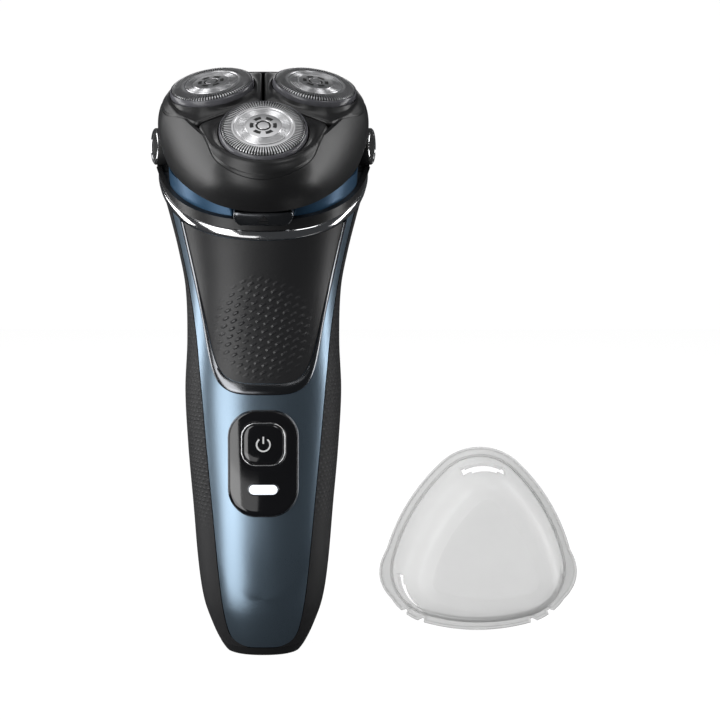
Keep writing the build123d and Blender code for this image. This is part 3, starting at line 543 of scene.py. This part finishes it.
bezel_in = (11.9, 11.9, 4.0, BUTTON_Z, 0.34)
bezel_out = (BEZEL_WIDTH - 0.5, BEZEL_HEIGHT - 0.5, BEZEL_CORNER - 0.25, BEZEL_Z, 0.36)
bezel = framed([
    (11.7, 11.7, 3.9, BUTTON_Z, -1.0), (11.7, 11.7, 3.9, BUTTON_Z, 0.22), bezel_in,
    *between(bezel_in, bezel_out, 10), bezel_out,
    (BEZEL_WIDTH - 0.1, BEZEL_HEIGHT - 0.1, BEZEL_CORNER, BEZEL_Z, 0.22),
    (BEZEL_WIDTH, BEZEL_HEIGHT, BEZEL_CORNER, BEZEL_Z, -0.6),
])
fitted("bezel_lens", bezel, gloss_black, "button_bezel", ["button_bezel"], angle=60)
bezel_rim = framed([
    (BEZEL_WIDTH + 0.05, BEZEL_HEIGHT + 0.05, BEZEL_CORNER, BEZEL_Z, -0.5),
    (BEZEL_WIDTH + 0.05, BEZEL_HEIGHT + 0.05, BEZEL_CORNER, BEZEL_Z, 0.2),
    (BEZEL_WIDTH + 0.25, BEZEL_HEIGHT + 0.25, BEZEL_CORNER + 0.1, BEZEL_Z, 0.27),
    (BEZEL_WIDTH + 0.55, BEZEL_HEIGHT + 0.55, BEZEL_CORNER + 0.25, BEZEL_Z, 0.16),
    (BEZEL_WIDTH + 0.65, BEZEL_HEIGHT + 0.65, BEZEL_CORNER + 0.3, BEZEL_Z, -0.5),
])
fitted("bezel_rim", bezel_rim, gunmetal, "button_bezel", angle=70)
button_rim = framed([
    (11.0, 11.0, 3.7, BUTTON_Z, -1.0), (11.0, 11.0, 3.7, BUTTON_Z, 0.35),
    (11.25, 11.25, 3.75, BUTTON_Z, 0.47), (11.5, 11.5, 3.85, BUTTON_Z, 0.45),
    (11.65, 11.65, 3.9, BUTTON_Z, 0.3), (11.65, 11.65, 3.9, BUTTON_Z, -1.0),
])
fitted("button_rim", button_rim, chrome, "button_ring", ["button_ring"], angle=70)
button = framed([
    (0, 0, 0, BUTTON_Z, 0.5), (3, 3, 1, BUTTON_Z, 0.49), (7, 7, 2.3, BUTTON_Z, 0.45),
    (9.6, 9.6, 3.1, BUTTON_Z, 0.38), (10.3, 10.3, 3.4, BUTTON_Z, 0.28),
    (10.7, 10.7, 3.5, BUTTON_Z, 0.05), (10.8, 10.8, 3.5, BUTTON_Z, -0.25),
    (10.8, 10.8, 3.5, BUTTON_Z, -0.9),
])
fitted("button_key", button, gloss_black, "power_button", angle=60)
dress(inner_plastic, "power_button")


def symbol_arc(radius, width, start, end, lift, middle_z):
    """A flat printed arc on the front, angles in degrees from straight up."""

    def place(across, along):
        turn = radians(start + (end - start) * across)
        out = radius + width * (along - 0.5)
        return front_point(out * sin(turn), middle_z + out * cos(turn), lift)

    return wrapped(48, 2, place, (0, -1, 0))


arc = symbol_arc(1.75, 0.42, 38, 322, 0.56, BUTTON_Z)
fitted("power_symbol_arc", arc, print_white, "power_button")
bar = wrapped(2, 6, lambda across, along: front_point(
    (across - 0.5) * 0.42, BUTTON_Z + 0.25 + 1.9 * along, 0.56), (0, -1, 0))
fitted("power_symbol_bar", bar, print_white, "power_button")

LED_Z = 47.3
glow = Coat("charge_light", {"Base Color": (0.9, 0.92, 0.95, 1), "Emission Strength": 1.3})
x_at, _, z_at = glow.axes(glow.spot((0, 0, LED_Z)))
frost = glow.noise(glow.spot(), 1.5)
inside = abs(z_at) * 1.6 + (abs(x_at) - 2.4).math("MAXIMUM", abs(x_at) - 2.4, 0.0)
hot = (2.0 - 1.2 * inside).clamped()
glow.feed("Emission Color", glow.mix(hot, (0.62, 0.66, 0.72), (1.0, 1.0, 1.0)))
glow.feed("Roughness", 0.3 + 0.2 * frost)
light = framed([
    (0, 0, 0, LED_Z, 0.62), (4.9, 0.1, 0.05, LED_Z, 0.62), (6.4, 1.5, 0.74, LED_Z, 0.6),
    (7.2, 2.3, 1.14, LED_Z, 0.52), (7.5, 2.6, 1.29, LED_Z, 0.38), (7.5, 2.6, 1.29, LED_Z, -0.4),
])
fitted("charge_light_lens", light, glow.material, "led_lens", ["led_lens"], angle=60)
light_rim = framed([
    (7.6, 2.7, 1.34, LED_Z, 0.3), (7.6, 2.7, 1.34, LED_Z, 0.46), (7.9, 3.0, 1.49, LED_Z, 0.5),
    (8.2, 3.3, 1.64, LED_Z, 0.44), (8.2, 3.3, 1.64, LED_Z, 0.3),
])
fitted("charge_light_rim", light_rim, gunmetal, "led_lens", angle=70)
dress(print_white, "light_guide")


# ---- Collar: chrome band, blue coupling ring, release button ----
# A bright chrome band is pressed round the top of the handle. Above it a blue ring seats the
# shaving unit, and a gunmetal release button with an eject symbol sits in front.


def collar_point(angle, height, lift):
    """Point round the handle's skin at a height on the unit's leaning axis."""
    z = 125.0
    lean = sin(radians(HEAD_TILT)), cos(radians(HEAD_TILT))
    for _ in range(12):
        y = round_point(angle, z, lift)[1]
        z = HEAD_Z + (height + lean[0] * (y - HEAD_Y)) / lean[1]
    return round_point(angle, z, lift)


# Section of the band: height on the axis and lift off the skin.
BAND = [(BAND_LOW, -1.2), (BAND_LOW, 0.05), (BAND_LOW + 0.25, 0.3), (BAND_LOW + 0.8, 0.42),
        (BAND_HIGH - 0.8, 0.42), (BAND_HIGH - 0.25, 0.28), (BAND_HIGH, 0.05), (BAND_HIGH, -1.2)]
band = wrapped(200, len(BAND) - 1, lambda across, along: collar_point(
    2 * pi * across, *BAND[round(along * (len(BAND) - 1))]))
fitted("collar_chrome", band, chrome, "collar_band", ["collar_band"], angle=70)

blue_ring = moulded("blue_ring", (0.03, 0.085, 0.16), 0.36, 0.03, metal=0.4)
rounded_copy("coupling_ring", blue_ring)
RELEASE_MIDDLE, RELEASE_FACE, EJECT_FACE = -5.6, -25.6, -26.02


def release_place(across, along):
    """The release button: wide at its top, with well-rounded lower corners."""
    rings = [(0, 0.35), (0.55, 0.32), (0.85, 0.25), (0.97, 0.1), (1, -0.25), (1, -3.2)]
    scale, lift = rings[round(along * (len(rings) - 1))]
    x, z = rounded_outline(across, 15.2, 4.0, 1.2)
    if z < 0:
        x *= 1 + 0.06 * z
    x, z = x * scale, z * scale
    return on_unit(x, RELEASE_FACE + 0.004 * x * x - lift, RELEASE_MIDDLE + z)


release = wrapped(120, 5, release_place, (0, -1, 0))
fitted("release_key", release, gunmetal, "release_button", ["release_button"],
       angle=50)


def eject_place(across, along):
    half = 1.25 * (1 - along) + 0.02
    return on_unit((across - 0.5) * 2 * half, EJECT_FACE, RELEASE_MIDDLE - 0.35 + 1.5 * along)


eject = wrapped(8, 8, eject_place, (0, -1, 0))
fitted("eject_symbol_arrow", eject, black_plastic, "release_button")
eject_bar = wrapped(8, 1, lambda across, along: on_unit(
    (across - 0.5) * 2.5, EJECT_FACE, RELEASE_MIDDLE - 1.0 + 0.35 * along), (0, -1, 0))
fitted("eject_symbol_bar", eject_bar, black_plastic, "release_button")


# ---- Shaving unit: frame and three head holders ----
# The satin black frame is a three-lobed skirt that climbs to a point between the heads. Each
# head sits in its own holder, parted from the frame and its neighbours by a fine groove.

# Outline of the unit: height, lobe centre and lobe radius.
LOBES = [(-2.6, 6.5, 20.6), (2, 9.5, 19.4), (6, 12.0, 17.4), (9.5, 13.4, 15.1), (12, 14.0, 12.8)]
SIDE_BOW, UNIT_TOP, FRAME_LOWEST_TOP = 0.8, 12.0, 5.9
GEAR_CENTRE, BALL_Z, TOP_Z, HEAD_LEAN = 11.4, -9.4, 15.3, 10.0
HOLDER_CENTRE, HOLDER_RADIUS, TANGENT, GROOVE = 14.9, 14.2, radians(70), 0.3
HOLE_CENTRE, HOLE_RADIUS = 15.17, 11.35


def three_lobed(turn, lobe_centre, lobe_radius, side):
    """Reach of a rounded three-cornered outline at an angle from one of its corners."""
    turn = abs((turn + pi / 3) % (2 * pi / 3) - pi / 3)
    across, along = lobe_centre * sin(pi / 3), lobe_centre / 2
    bow = (across**2 + (along - side) ** 2 - lobe_radius**2) / (2 * (side - along - lobe_radius))
    offset = side - bow
    to_corner = Vector((lobe_centre - offset / 2, -offset * sin(pi / 3)))
    join = Vector((lobe_centre, 0)) + to_corner.normalized() * lobe_radius
    if turn < atan2(join.y, join.x):
        return lobe_centre * cos(turn) + sqrt(lobe_radius**2 - (lobe_centre * sin(turn)) ** 2)
    rest = pi / 3 - turn
    return offset * cos(rest) + sqrt(bow**2 - (offset * sin(rest)) ** 2)


def unit_reach(turn, height):
    lobe_centre, lobe_radius = blended(LOBES, height)
    return three_lobed(turn, lobe_centre, lobe_radius, lobe_centre / 2 + lobe_radius + SIDE_BOW)


def holder_margin(x, y):
    """How far a point is inside a holder's outline, its head lying along +X."""
    side = abs(y)
    if atan2(side, x - HOLDER_CENTRE) < TANGENT:
        bowl = HOLDER_RADIUS - hypot(x - HOLDER_CENTRE, y)
    else:
        bowl = HOLDER_RADIUS - (x - HOLDER_CENTRE) * cos(TANGENT) - side * sin(TANGENT)
    sector = x * sin(pi / 3) - side * cos(pi / 3)
    soft = max(1.4 - abs(bowl - sector), 0.0) / 1.4
    return min(bowl, sector) - soft * soft * 0.35


def reach_where(inside, near=0.0, far=40.0):
    """The furthest distance or height at which inside(it) stays at or above zero."""
    for _ in range(26):
        middle = (near + far) / 2
        near, far = (middle, far) if inside(middle) >= 0 else (near, middle)
    return near


def frame_top(turn):
    """Height of the frame's upper edge at an angle from the nearest head."""
    turn = abs((turn + pi / 3) % (2 * pi / 3) - pi / 3)
    edge = reach_where(lambda reach: holder_margin(reach * cos(turn), reach * sin(turn)))
    return reach_where(lambda height: unit_reach(turn, height) - edge, FRAME_LOWEST_TOP, UNIT_TOP)


COLUMNS, FRAME_FOOT = 240, -2.1
top_at = [frame_top(2 * pi * step / COLUMNS) for step in range(COLUMNS)]
# Up the frame: share of the way from its lower to its upper edge, and how far it is drawn in.
FRAME_RINGS = [(-0.06, 2.4), (-0.06, 0.55), (-0.035, 0.15), (0.0, 0.0)] + [
    (step / 22, 0.0) for step in range(1, 22)
] + [(0.985, 0.04), (1.0, 0.3), (1.0, 1.0), (0.8, 1.3), (0.5, 1.5)]


def frame_place(across, along):
    turn = 2 * pi * across
    share, inset = FRAME_RINGS[round(along * (len(FRAME_RINGS) - 1))]
    top = top_at[round(across * COLUMNS) % COLUMNS]
    height = FRAME_FOOT + share * (top - FRAME_FOOT)
    reach = unit_reach(turn, height) - inset
    turn += radians(SIDES["front"])
    return on_unit(reach * cos(turn), reach * sin(turn), height)


skirt = wrapped(COLUMNS, len(FRAME_RINGS) - 1, frame_place)
fitted("unit_skirt", skirt, black_plastic, "head_frame", angle=60)
dress(black_plastic, "head_frame")

AROUND = 168
holder_edge, holder_foot = [], []
for step in range(AROUND):
    turn = 2 * pi * step / AROUND

    def spot_at(distance, angle=turn):
        return HOLE_CENTRE + distance * cos(angle), distance * sin(angle)

    edge = reach_where(lambda distance: holder_margin(*spot_at(distance)) - GROOVE)
    x, y = spot_at(edge)
    foot = reach_where(
        lambda height: unit_reach(atan2(y, x), height) - hypot(x, y), 5.0, UNIT_TOP - 1.0
    )
    holder_edge.append(edge)
    holder_foot.append(foot)


def holder_reach(step, height):
    """Reach of a holder from its head's middle, at a height, on one of its spokes."""
    turn = 2 * pi * step / AROUND

    def inside(distance):
        x, y = HOLE_CENTRE + distance * cos(turn), distance * sin(turn)
        return unit_reach(atan2(y, x), height) - hypot(x, y)

    return min(holder_edge[step], reach_where(inside))


CLIMB, ROUNDING, INWARD = 9, 6, 6
HOLDER_RINGS = 2 + CLIMB + ROUNDING + INWARD + 3
SHOULDER, CREST_RISE, LIP_DEPTH = 1.0, 2.2, 1.9


def crest(x):
    """Height of the holder's shoulder: level outside, rising towards the unit's middle."""
    share = min(max((17.0 - x) / 17.0, 0.0), 1.0)
    return UNIT_TOP + CREST_RISE * share * share * (3 - 2 * share)


def lip_point(turn, depth, reach=HOLE_RADIUS):
    """Point round the leaning head, at a depth under its top."""
    lean = radians(HEAD_LEAN)
    out = reach * cos(turn)
    middle = GEAR_CENTRE + (TOP_Z - BALL_Z) * sin(lean) / cos(lean)
    return Vector((middle + out * cos(lean) - depth * sin(lean), reach * sin(turn),
                   TOP_Z - out * sin(lean) - depth * cos(lean)))


def holder_point(step, ring):
    """Up the holder's outside, over its rounded shoulder, in to the head, and down."""
    turn = 2 * pi * step / AROUND
    foot = holder_foot[step]
    top = crest(HOLE_CENTRE + holder_edge[step] * cos(turn))
    if ring < 2:
        height = foot - (3.0, 0.25)[ring]
        distance = holder_edge[step]
    elif ring < 2 + CLIMB:
        height = foot + (top - SHOULDER - foot) * (ring - 2) / CLIMB
        distance = holder_reach(step, height) - 0.18 * max(0.0, 1 - (ring - 2) / 2.0)
    else:
        lean = pi / 2 * min((ring - 2 - CLIMB) / ROUNDING, 1.0)
        height = top - SHOULDER + SHOULDER * sin(lean)
        distance = holder_reach(step, top - SHOULDER + 0.5 * sin(lean)) - SHOULDER * (1 - cos(lean))
    spot = Vector((HOLE_CENTRE + distance * cos(turn), distance * sin(turn), height))
    inner = ring - 2 - CLIMB - ROUNDING
    if inner > INWARD:
        return lip_point(turn, (LIP_DEPTH + 0.2, 5.5)[min(inner - INWARD - 1, 1)])
    if inner > 0:
        share = inner / INWARD
        spot = spot.lerp(lip_point(turn, LIP_DEPTH, HOLE_RADIUS + 0.2), share)
        spot.z -= 0.3 * sin(pi * share)
    return spot


holder_points = [
    [holder_point(step, ring) for ring in range(HOLDER_RINGS)] for step in range(AROUND)
]


def holder_place(across, along):
    return holder_points[round(across * AROUND) % AROUND][round(along * (HOLDER_RINGS - 1))]


for side, degrees in SIDES.items():
    holder = wrapped(AROUND, HOLDER_RINGS - 1, holder_place)
    fitted(f"{side}_holder_shell", holder, black_plastic, f"{side}_head_holder",
           [f"{side}_head_holder"], angle=50, seat=UNIT @ Matrix.Rotation(radians(degrees), 4, "Z"))


# ---- Shaving heads: smoky rims, slotted steel guards ----
# Each guard is a pressed steel cap with about ninety radial slots, fine turned grooves and a
# punched centre boss, held by a smoky plastic rim. The toothed cutter turns beneath it.

smoky = Coat("smoky_rim", {"Transmission Weight": 0.25, "IOR": 1.5})
place = smoky.spot()
cloud, fine = smoky.noise(place, 0.5), smoky.noise(place, 2.5, 3.0)
smoky.feed("Base Color", smoky.mix(cloud, (0.10, 0.10, 0.112), (0.16, 0.16, 0.175)))
smoky.feed("Roughness", 0.17 + 0.1 * fine)
smoky.bump(fine, 0.03, 0.2)
guard_steel = moulded("guard_steel", (0.60, 0.60, 0.61), 0.36, 0.002, metal=1.0)
# Flat black for the guard marks and the pivot cap bodies; the same black also makes the painted
# shade disc under each guard's slots.
black_and_painted_shade = moulded("black_and_painted_shade", (0.01, 0.01, 0.01), 0.5)

SLOTS, TRACK_INNER = 90, 7.7


def head_matrix(degrees):
    """From a head's own frame, +Z out of its top and +X away from the unit's middle."""
    lean = Matrix.Rotation(radians(HEAD_LEAN), 4, "Y")
    along = (TOP_Z - BALL_Z) / cos(radians(HEAD_LEAN))
    return (
        UNIT @ Matrix.Rotation(radians(degrees), 4, "Z")
        @ Matrix.Translation((GEAR_CENTRE * MM, 0, BALL_Z * MM)) @ lean
        @ Matrix.Translation((0, 0, along * MM))
    )


def turned(profile, steps=144):
    """A form spun about +Z from radius and height points."""
    form = bmesh.new()
    points = [form.verts.new((radius * MM, 0, height * MM)) for radius, height in profile]
    edges = [form.edges.new(pair) for pair in zip(points, points[1:])]
    bmesh.ops.spin(form, geom=points + edges, axis=(0, 0, 1), cent=(0, 0, 0), angle=2 * pi,
                   steps=steps, use_merge=True)
    bmesh.ops.remove_doubles(form, verts=form.verts, dist=1e-6)
    bmesh.ops.recalc_face_normals(form, faces=form.faces)
    return form


def add_sector(form, radius, width, start, sweep, height, drop=0.0, columns=8):
    """Adds a flat stretch of a ring about +Z: angles in radians, sizes in millimetres."""

    def place(across, along):
        turn, out = start + sweep * across, radius + width * along
        return out * cos(turn), out * sin(turn), height - drop * along

    sector = wrapped(columns, 2, place, (0, 0, 1))
    data = bpy.data.meshes.new("sector")
    sector.to_mesh(data)
    sector.free()
    form.from_mesh(data)
    bpy.data.meshes.remove(data)


# Section of the rim: radius and height under the head's top.
RIM = [(10.6, -5.4), (11.0, -5.4), (11.15, -5.2), (11.15, -1.5), (11.1, -0.95), (10.96, -0.6),
       (10.78, -0.48), (10.66, -0.55), (10.6, -0.8), (10.6, -5.4)]
# Section of the plate from the slotted track in: a step, seven turned grooves, the boss.
plate_profile = [(TRACK_INNER + 0.25, -0.5), (TRACK_INNER + 0.25, 0.0), (7.5, 0.02), (7.3, -0.18),
                 (6.9, -0.2), (6.75, -0.02)]
for groove in range(7):
    start = 6.6 - 0.27 * groove
    plate_profile += [
        (start, 0.0), (start - 0.08, -0.07), (start - 0.16, -0.07), (start - 0.22, 0.0)
    ]
plate_profile += [(4.65, 0.0), (4.5, 0.16), (4.1, 0.24), (2.0, 0.3), (1.9, 0.2), (1.45, 0.2),
                  (1.35, 0.3), (0.9, 0.33), (0.0, 0.34)]
# One land between two slots: radius, height and half width along the track.
LAND = [(TRACK_INNER, 0.0), (8.6, 0.0), (9.6, -0.03), (10.15, -0.14), (10.45, -0.42), (10.55, -0.9)]

for side, degrees in SIDES.items():
    seat = head_matrix(degrees)
    rim = turned(RIM)
    fitted(f"{side}_rim_ring", rim, smoky.material, f"{side}_guard_rim",
           [f"{side}_guard_rim"], angle=50, seat=seat)

    plate = turned(plate_profile)
    fitted(f"{side}_guard_plate", plate, guard_steel, f"{side}_guard",
           [f"{side}_guard"], angle=30, seat=seat)

    lands = bmesh.new()
    bmesh.ops.create_grid(lands, x_segments=len(LAND) - 1, y_segments=1, size=0.5)
    for vert in lands.verts:
        radius, height = LAND[round((vert.co.x + 0.5) * (len(LAND) - 1))]
        half = (0.115 + 0.012 * (radius - TRACK_INNER)) * (1 if vert.co.y > 0 else -1)
        vert.co = Vector((radius, half, height)) * MM
    skin = bmesh.ops.extrude_face_region(lands, geom=lands.faces[:])
    lower = [item for item in skin["geom"] if isinstance(item, bmesh.types.BMVert)]
    bmesh.ops.translate(lands, verts=lower, vec=(0, 0, -0.35 * MM))
    bmesh.ops.recalc_face_normals(lands, faces=lands.faces)
    bmesh.ops.spin(lands, geom=lands.verts[:] + lands.edges[:] + lands.faces[:], axis=(0, 0, 1),
                   cent=(0, 0, 0), angle=2 * pi * (SLOTS - 1) / SLOTS, steps=SLOTS - 1,
                   use_duplicate=True)
    bmesh.ops.recalc_face_normals(lands, faces=lands.faces)
    fitted(f"{side}_guard_lands", lands, guard_steel, f"{side}_guard", angle=35,
           seat=seat)

    skirt_ring = turned([(10.5, -0.85), (10.58, -0.9), (10.58, -2.6), (10.3, -2.6)])
    fitted(f"{side}_guard_skirt", skirt_ring, guard_steel, f"{side}_guard", seat=seat)

    # A flat black disc just under the plate is painted shade, so that the slots between the lands
    # look dark.
    shade = turned([(0.0, -0.75), (10.2, -0.95)], 48)
    fitted(f"{side}_guard_shadow", shade, black_and_painted_shade, f"{side}_guard", seat=seat)

    ring = turned([(1.95, 0.215), (1.4, 0.215)], 64)
    for mark in range(6):
        add_sector(ring, 2.45, 0.95, mark * pi / 3 + 0.2, 0.62, 0.318, drop=0.02)
    fitted(f"{side}_guard_marks", ring, black_and_painted_shade, f"{side}_guard", seat=seat)


# ---- Pivot caps at the sides of the unit ----
# A round black cap with a bright ring closes each side pivot. The face carries a plain pair
# of arcs and no lettering.

PIVOT_Y, PIVOT_Z, PIVOT_FACE, PIVOT_LEAN = 7.3, -3.4, 29.2, 16
pivot_middle = UNIT @ (Vector((0, PIVOT_Y, PIVOT_Z)) * MM)
# Sections of the cap's body and of its bright ring: radius and height off its face.
CAP_BODY = [(4.9, -3.4), (4.9, -0.2), (4.75, 0.0), (4.55, 0.06), (4.4, -0.05), (4.2, -0.12),
            (0, 0.02)]
CAP_RING = [(4.55, -0.2), (4.62, 0.12), (4.5, 0.2), (4.36, 0.18), (4.26, 0.05), (4.22, -0.2)]
for side, name in ((-1, "left_pivot_cap"), (1, "right_pivot_cap")):
    out = Vector((side * cos(radians(PIVOT_LEAN)), -sin(radians(PIVOT_LEAN)), 0))
    seat = Matrix.Translation((side * PIVOT_FACE * MM, pivot_middle.y, pivot_middle.z))
    seat = seat @ out.to_track_quat("Z", "Y").to_matrix().to_4x4()
    for part, profile, coat, slot in (
        ("body", CAP_BODY, black_and_painted_shade, "gloss_black"), ("ring", CAP_RING, chrome, "chrome_trim"),
    ):
        hides = [name] if part == "body" else ()
        fitted(f"{name}_{part}", turned(profile, 72), coat, name, hides, seat=seat)
    mark = bmesh.new()
    for start in (0.35, pi + 0.35):
        add_sector(mark, 2.2, 0.16, start, 2.3, 0.05, columns=24)
    fitted(f"{name}_mark", mark, chrome, name, seat=seat)


# ---- Protective cap ----
# A one-piece frosted clear moulding with a thin flat flange, a bead round the foot of its
# dome, a vent slot at each corner and four small notches in the flange.

CAP_X, CAP_RIM_Y, CAP_Z = 62.0, 16.0, 24.3
CAP_CORNER_CENTRE, CAP_CORNER_RADIUS, CAP_SIDE = 13.1, 16.1, 24.3
# Side of the dome: depth and draw-in from the outline. Inside its last ring the crown closes.
DOME = [(1.4, 2.9), (6, 3.7), (10.5, 5.7), (13.6, 8.9), (14.8, 12.6)]
CAP_DEPTH, CROWN_SHRINK, CROWN_SPAN, CAP_AROUND = 15.0, 12.6, 15.0, 288

frosted = Coat("frosted_clear", {"Alpha": 0.42, "IOR": 1.46, "Coat Weight": 0.3,
                                 "Coat Roughness": 0.12})
place = frosted.spot((CAP_X, 5, CAP_Z))
cloud, fine = frosted.noise(place, 0.12), frosted.noise(place, 3.0, 3.0)
frosted.feed("Base Color", frosted.mix(cloud, (0.76, 0.76, 0.755), (0.84, 0.84, 0.835)))
frosted.feed("Roughness", 0.34 + 0.12 * fine)
frosted.bump(fine, 0.05, 0.2)


def cap_reach(turn, shrink):
    """Reach of the cap's outline, its corner up, drawn in by shrink."""
    return three_lobed(
        turn - pi / 2, CAP_CORNER_CENTRE, CAP_CORNER_RADIUS - shrink, CAP_SIDE - shrink
    )


def flange_extra(turn):
    """Two grip bulges low on the flange's sides, and four small notches under it."""
    degrees = turn * 180 / pi % 360
    extra = 0.0
    for bulge in (196, 344):
        extra += 1.1 * max(0.0, cos(radians(min(abs(degrees - bulge) * 6.0, 90))))
    for notch in (222, 233, 307, 318):
        if abs(degrees - notch) < 1.3:
            extra -= 1.2
    return extra


# From the flange's back edge over the bead and up the dome: depth, draw-in, flange share.
cap_rings = [
    (0.0, 0.05, 1), (0.0, 0.0, 1), (0.45, -0.02, 1), (0.6, 0.1, 1), (0.62, 1.2, 1),
    (0.62, 2.1, 0), (0.85, 2.25, 0), (1.0, 2.45, 0), (0.9, 2.65, 0), (0.7, 2.75, 0), (1.0, 2.9, 0),
]
for step in range(1, 27):
    depth = DOME[-1][0] * sin(pi / 2 * step / 26) ** 1.15
    cap_rings.append((max(depth, 1.05), blended(DOME, max(depth, 1.4))[0], 0))
for step in range(1, 13):
    share = 1 - step / 12
    crown = CAP_DEPTH - 0.2 * share * share
    cap_rings.append((crown, CROWN_SHRINK + (1 - share) * CROWN_SPAN, 0))


def cap_place(across, along):
    turn = 2 * pi * across
    depth, shrink, flange = cap_rings[round(along * (len(cap_rings) - 1))]
    if shrink > CROWN_SHRINK:
        reach = cap_reach(turn, CROWN_SHRINK) * (1 - (shrink - CROWN_SHRINK) / CROWN_SPAN)
    else:
        reach = cap_reach(turn, shrink) + flange * flange_extra(turn)
    return CAP_X + reach * cos(turn), CAP_RIM_Y - depth, CAP_Z + reach * sin(turn)


cap = wrapped(CAP_AROUND, len(cap_rings) - 1, cap_place, (0, -1, 0))
vents = []
for face in cap.faces:
    middle = face.calc_center_median() / MM
    x, z = middle.x - CAP_X, middle.z - CAP_Z
    turn = atan2(z, x)
    fold = abs((turn - pi / 2 + pi / 3) % (2 * pi / 3) - pi / 3)
    drawn_in = cap_reach(turn, 0) - hypot(x, z)
    if fold < radians(15.5) and 3.7 < drawn_in < 5.2 and CAP_RIM_Y - middle.y > 1.3:
        vents.append(face)
bmesh.ops.delete(cap, geom=vents, context="FACES")
fitted("clear_cap", cap, frosted.material, "protective_cap", ["protective_cap"],
       wall=0.9, edge=0.18, angle=50)


# ---- Floor, light and camera ----
# A plain pale floor and wall show white but throw little light back. Area lamps are the
# softboxes: a tall one in front on the left, others at the sides, above and behind, and two
# cards for the clear cap.

pale = Coat("pale_floor", {"Roughness": 0.9, "Specular IOR Level": 0.0, "Emission Strength": 0.95})
dust = pale.noise(pale.spot(), 0.02)
seen = pale.node("LightPath", output="Is Camera Ray")
pale.feed("Base Color", pale.mix(dust, (0.10, 0.10, 0.10), (0.11, 0.11, 0.11)))
pale.feed("Emission Color", pale.mix(seen, (0.03, 0.03, 0.03), (1.03, 1.03, 1.03)))
STAGE_HALF, WALL_Y = 3.0, 1.2
upright = Matrix.Translation((0, WALL_Y, STAGE_HALF / 2)) @ Matrix.Rotation(pi / 2, 4, "X")
for name, stand_at in (
    ("floor", Matrix()), ("wall", upright @ Matrix.Diagonal((1, 0.5, 1, 1))),
):
    sheet = bmesh.new()
    bmesh.ops.create_grid(sheet, x_segments=1, y_segments=1, size=STAGE_HALF, matrix=stand_at)
    data = bpy.data.meshes.new(name)
    sheet.to_mesh(data)
    sheet.free()
    data.materials.append(pale.material)
    ground = bpy.data.objects.new(name, data)
    bpy.context.scene.collection.objects.link(ground)
    ground.visible_glossy = ground.visible_shadow = False

# Each lamp: place and aim in metres, width and height, power in watts.
for name, place, aim, width, height, power in (
    ("left_softbox", (-0.52, -0.62, 0.10), (0, 0, 0.08), 0.50, 1.20, 6.5),
    ("left_edge_panel", (-0.66, 0.12, 0.20), (0, 0, 0.08), 0.30, 0.90, 3.6),
    ("overhead_panel", (-0.05, -0.16, 0.90), (0, -0.02, 0.12), 0.60, 0.60, 1.5),
    ("rear_panel", (0, 0.90, 0.62), (0, 0, 0.15), 0.90, 0.34, 1.2),
    ("right_strip", (0.60, 0.05, 0.20), (0, 0, 0.1), 0.16, 0.80, 2.2),
    ("low_card", (-0.075, -0.14, 0.004), (-0.075, -0.14, 1.0), 0.13, 0.07, 0.035),
    ("dome_card", (0.30, -0.45, 0.40), (0.065, -0.02, 0.03), 0.20, 0.20, 0.5),
):
    lamp = bpy.data.lights.new(name, "AREA")
    lamp.shape, lamp.size, lamp.size_y, lamp.energy = "RECTANGLE", width, height, power
    stand = bpy.data.objects.new(name, lamp)
    stand.location, stand.visible_camera = place, False
    stand.rotation_euler = (Vector(aim) - Vector(place)).to_track_quat("-Z", "Y").to_euler()
    bpy.context.scene.collection.objects.link(stand)

world = bpy.data.worlds.new("studio")
world.use_nodes = True
sky = world.node_tree
room, light_path = sky.nodes["Background"], sky.nodes.new("ShaderNodeLightPath")
shade = sky.nodes.new("ShaderNodeMix")
shade.data_type = "RGBA"
shade.inputs[6].default_value = (0.045, 0.047, 0.05, 1)
shade.inputs[7].default_value = (1, 1, 1, 1)
sky.links.new(light_path.outputs["Is Camera Ray"], shade.inputs[0])
sky.links.new(shade.outputs[2], room.inputs["Color"])
bpy.context.scene.world = world

bpy.context.scene.view_settings.view_transform = "Standard"

lens = bpy.data.cameras.new("camera")
lens.lens, lens.sensor_width, lens.shift_x = 69.54, 36.0, 0.1343
camera = bpy.data.objects.new("camera", lens)
camera.location = (0, -0.3783, 0.1164)
camera.rotation_euler = (
    (Vector((0, 0, 0.080)) - camera.location).to_track_quat("-Z", "Y").to_euler()
)
bpy.context.scene.collection.objects.link(camera)
bpy.context.scene.camera = camera
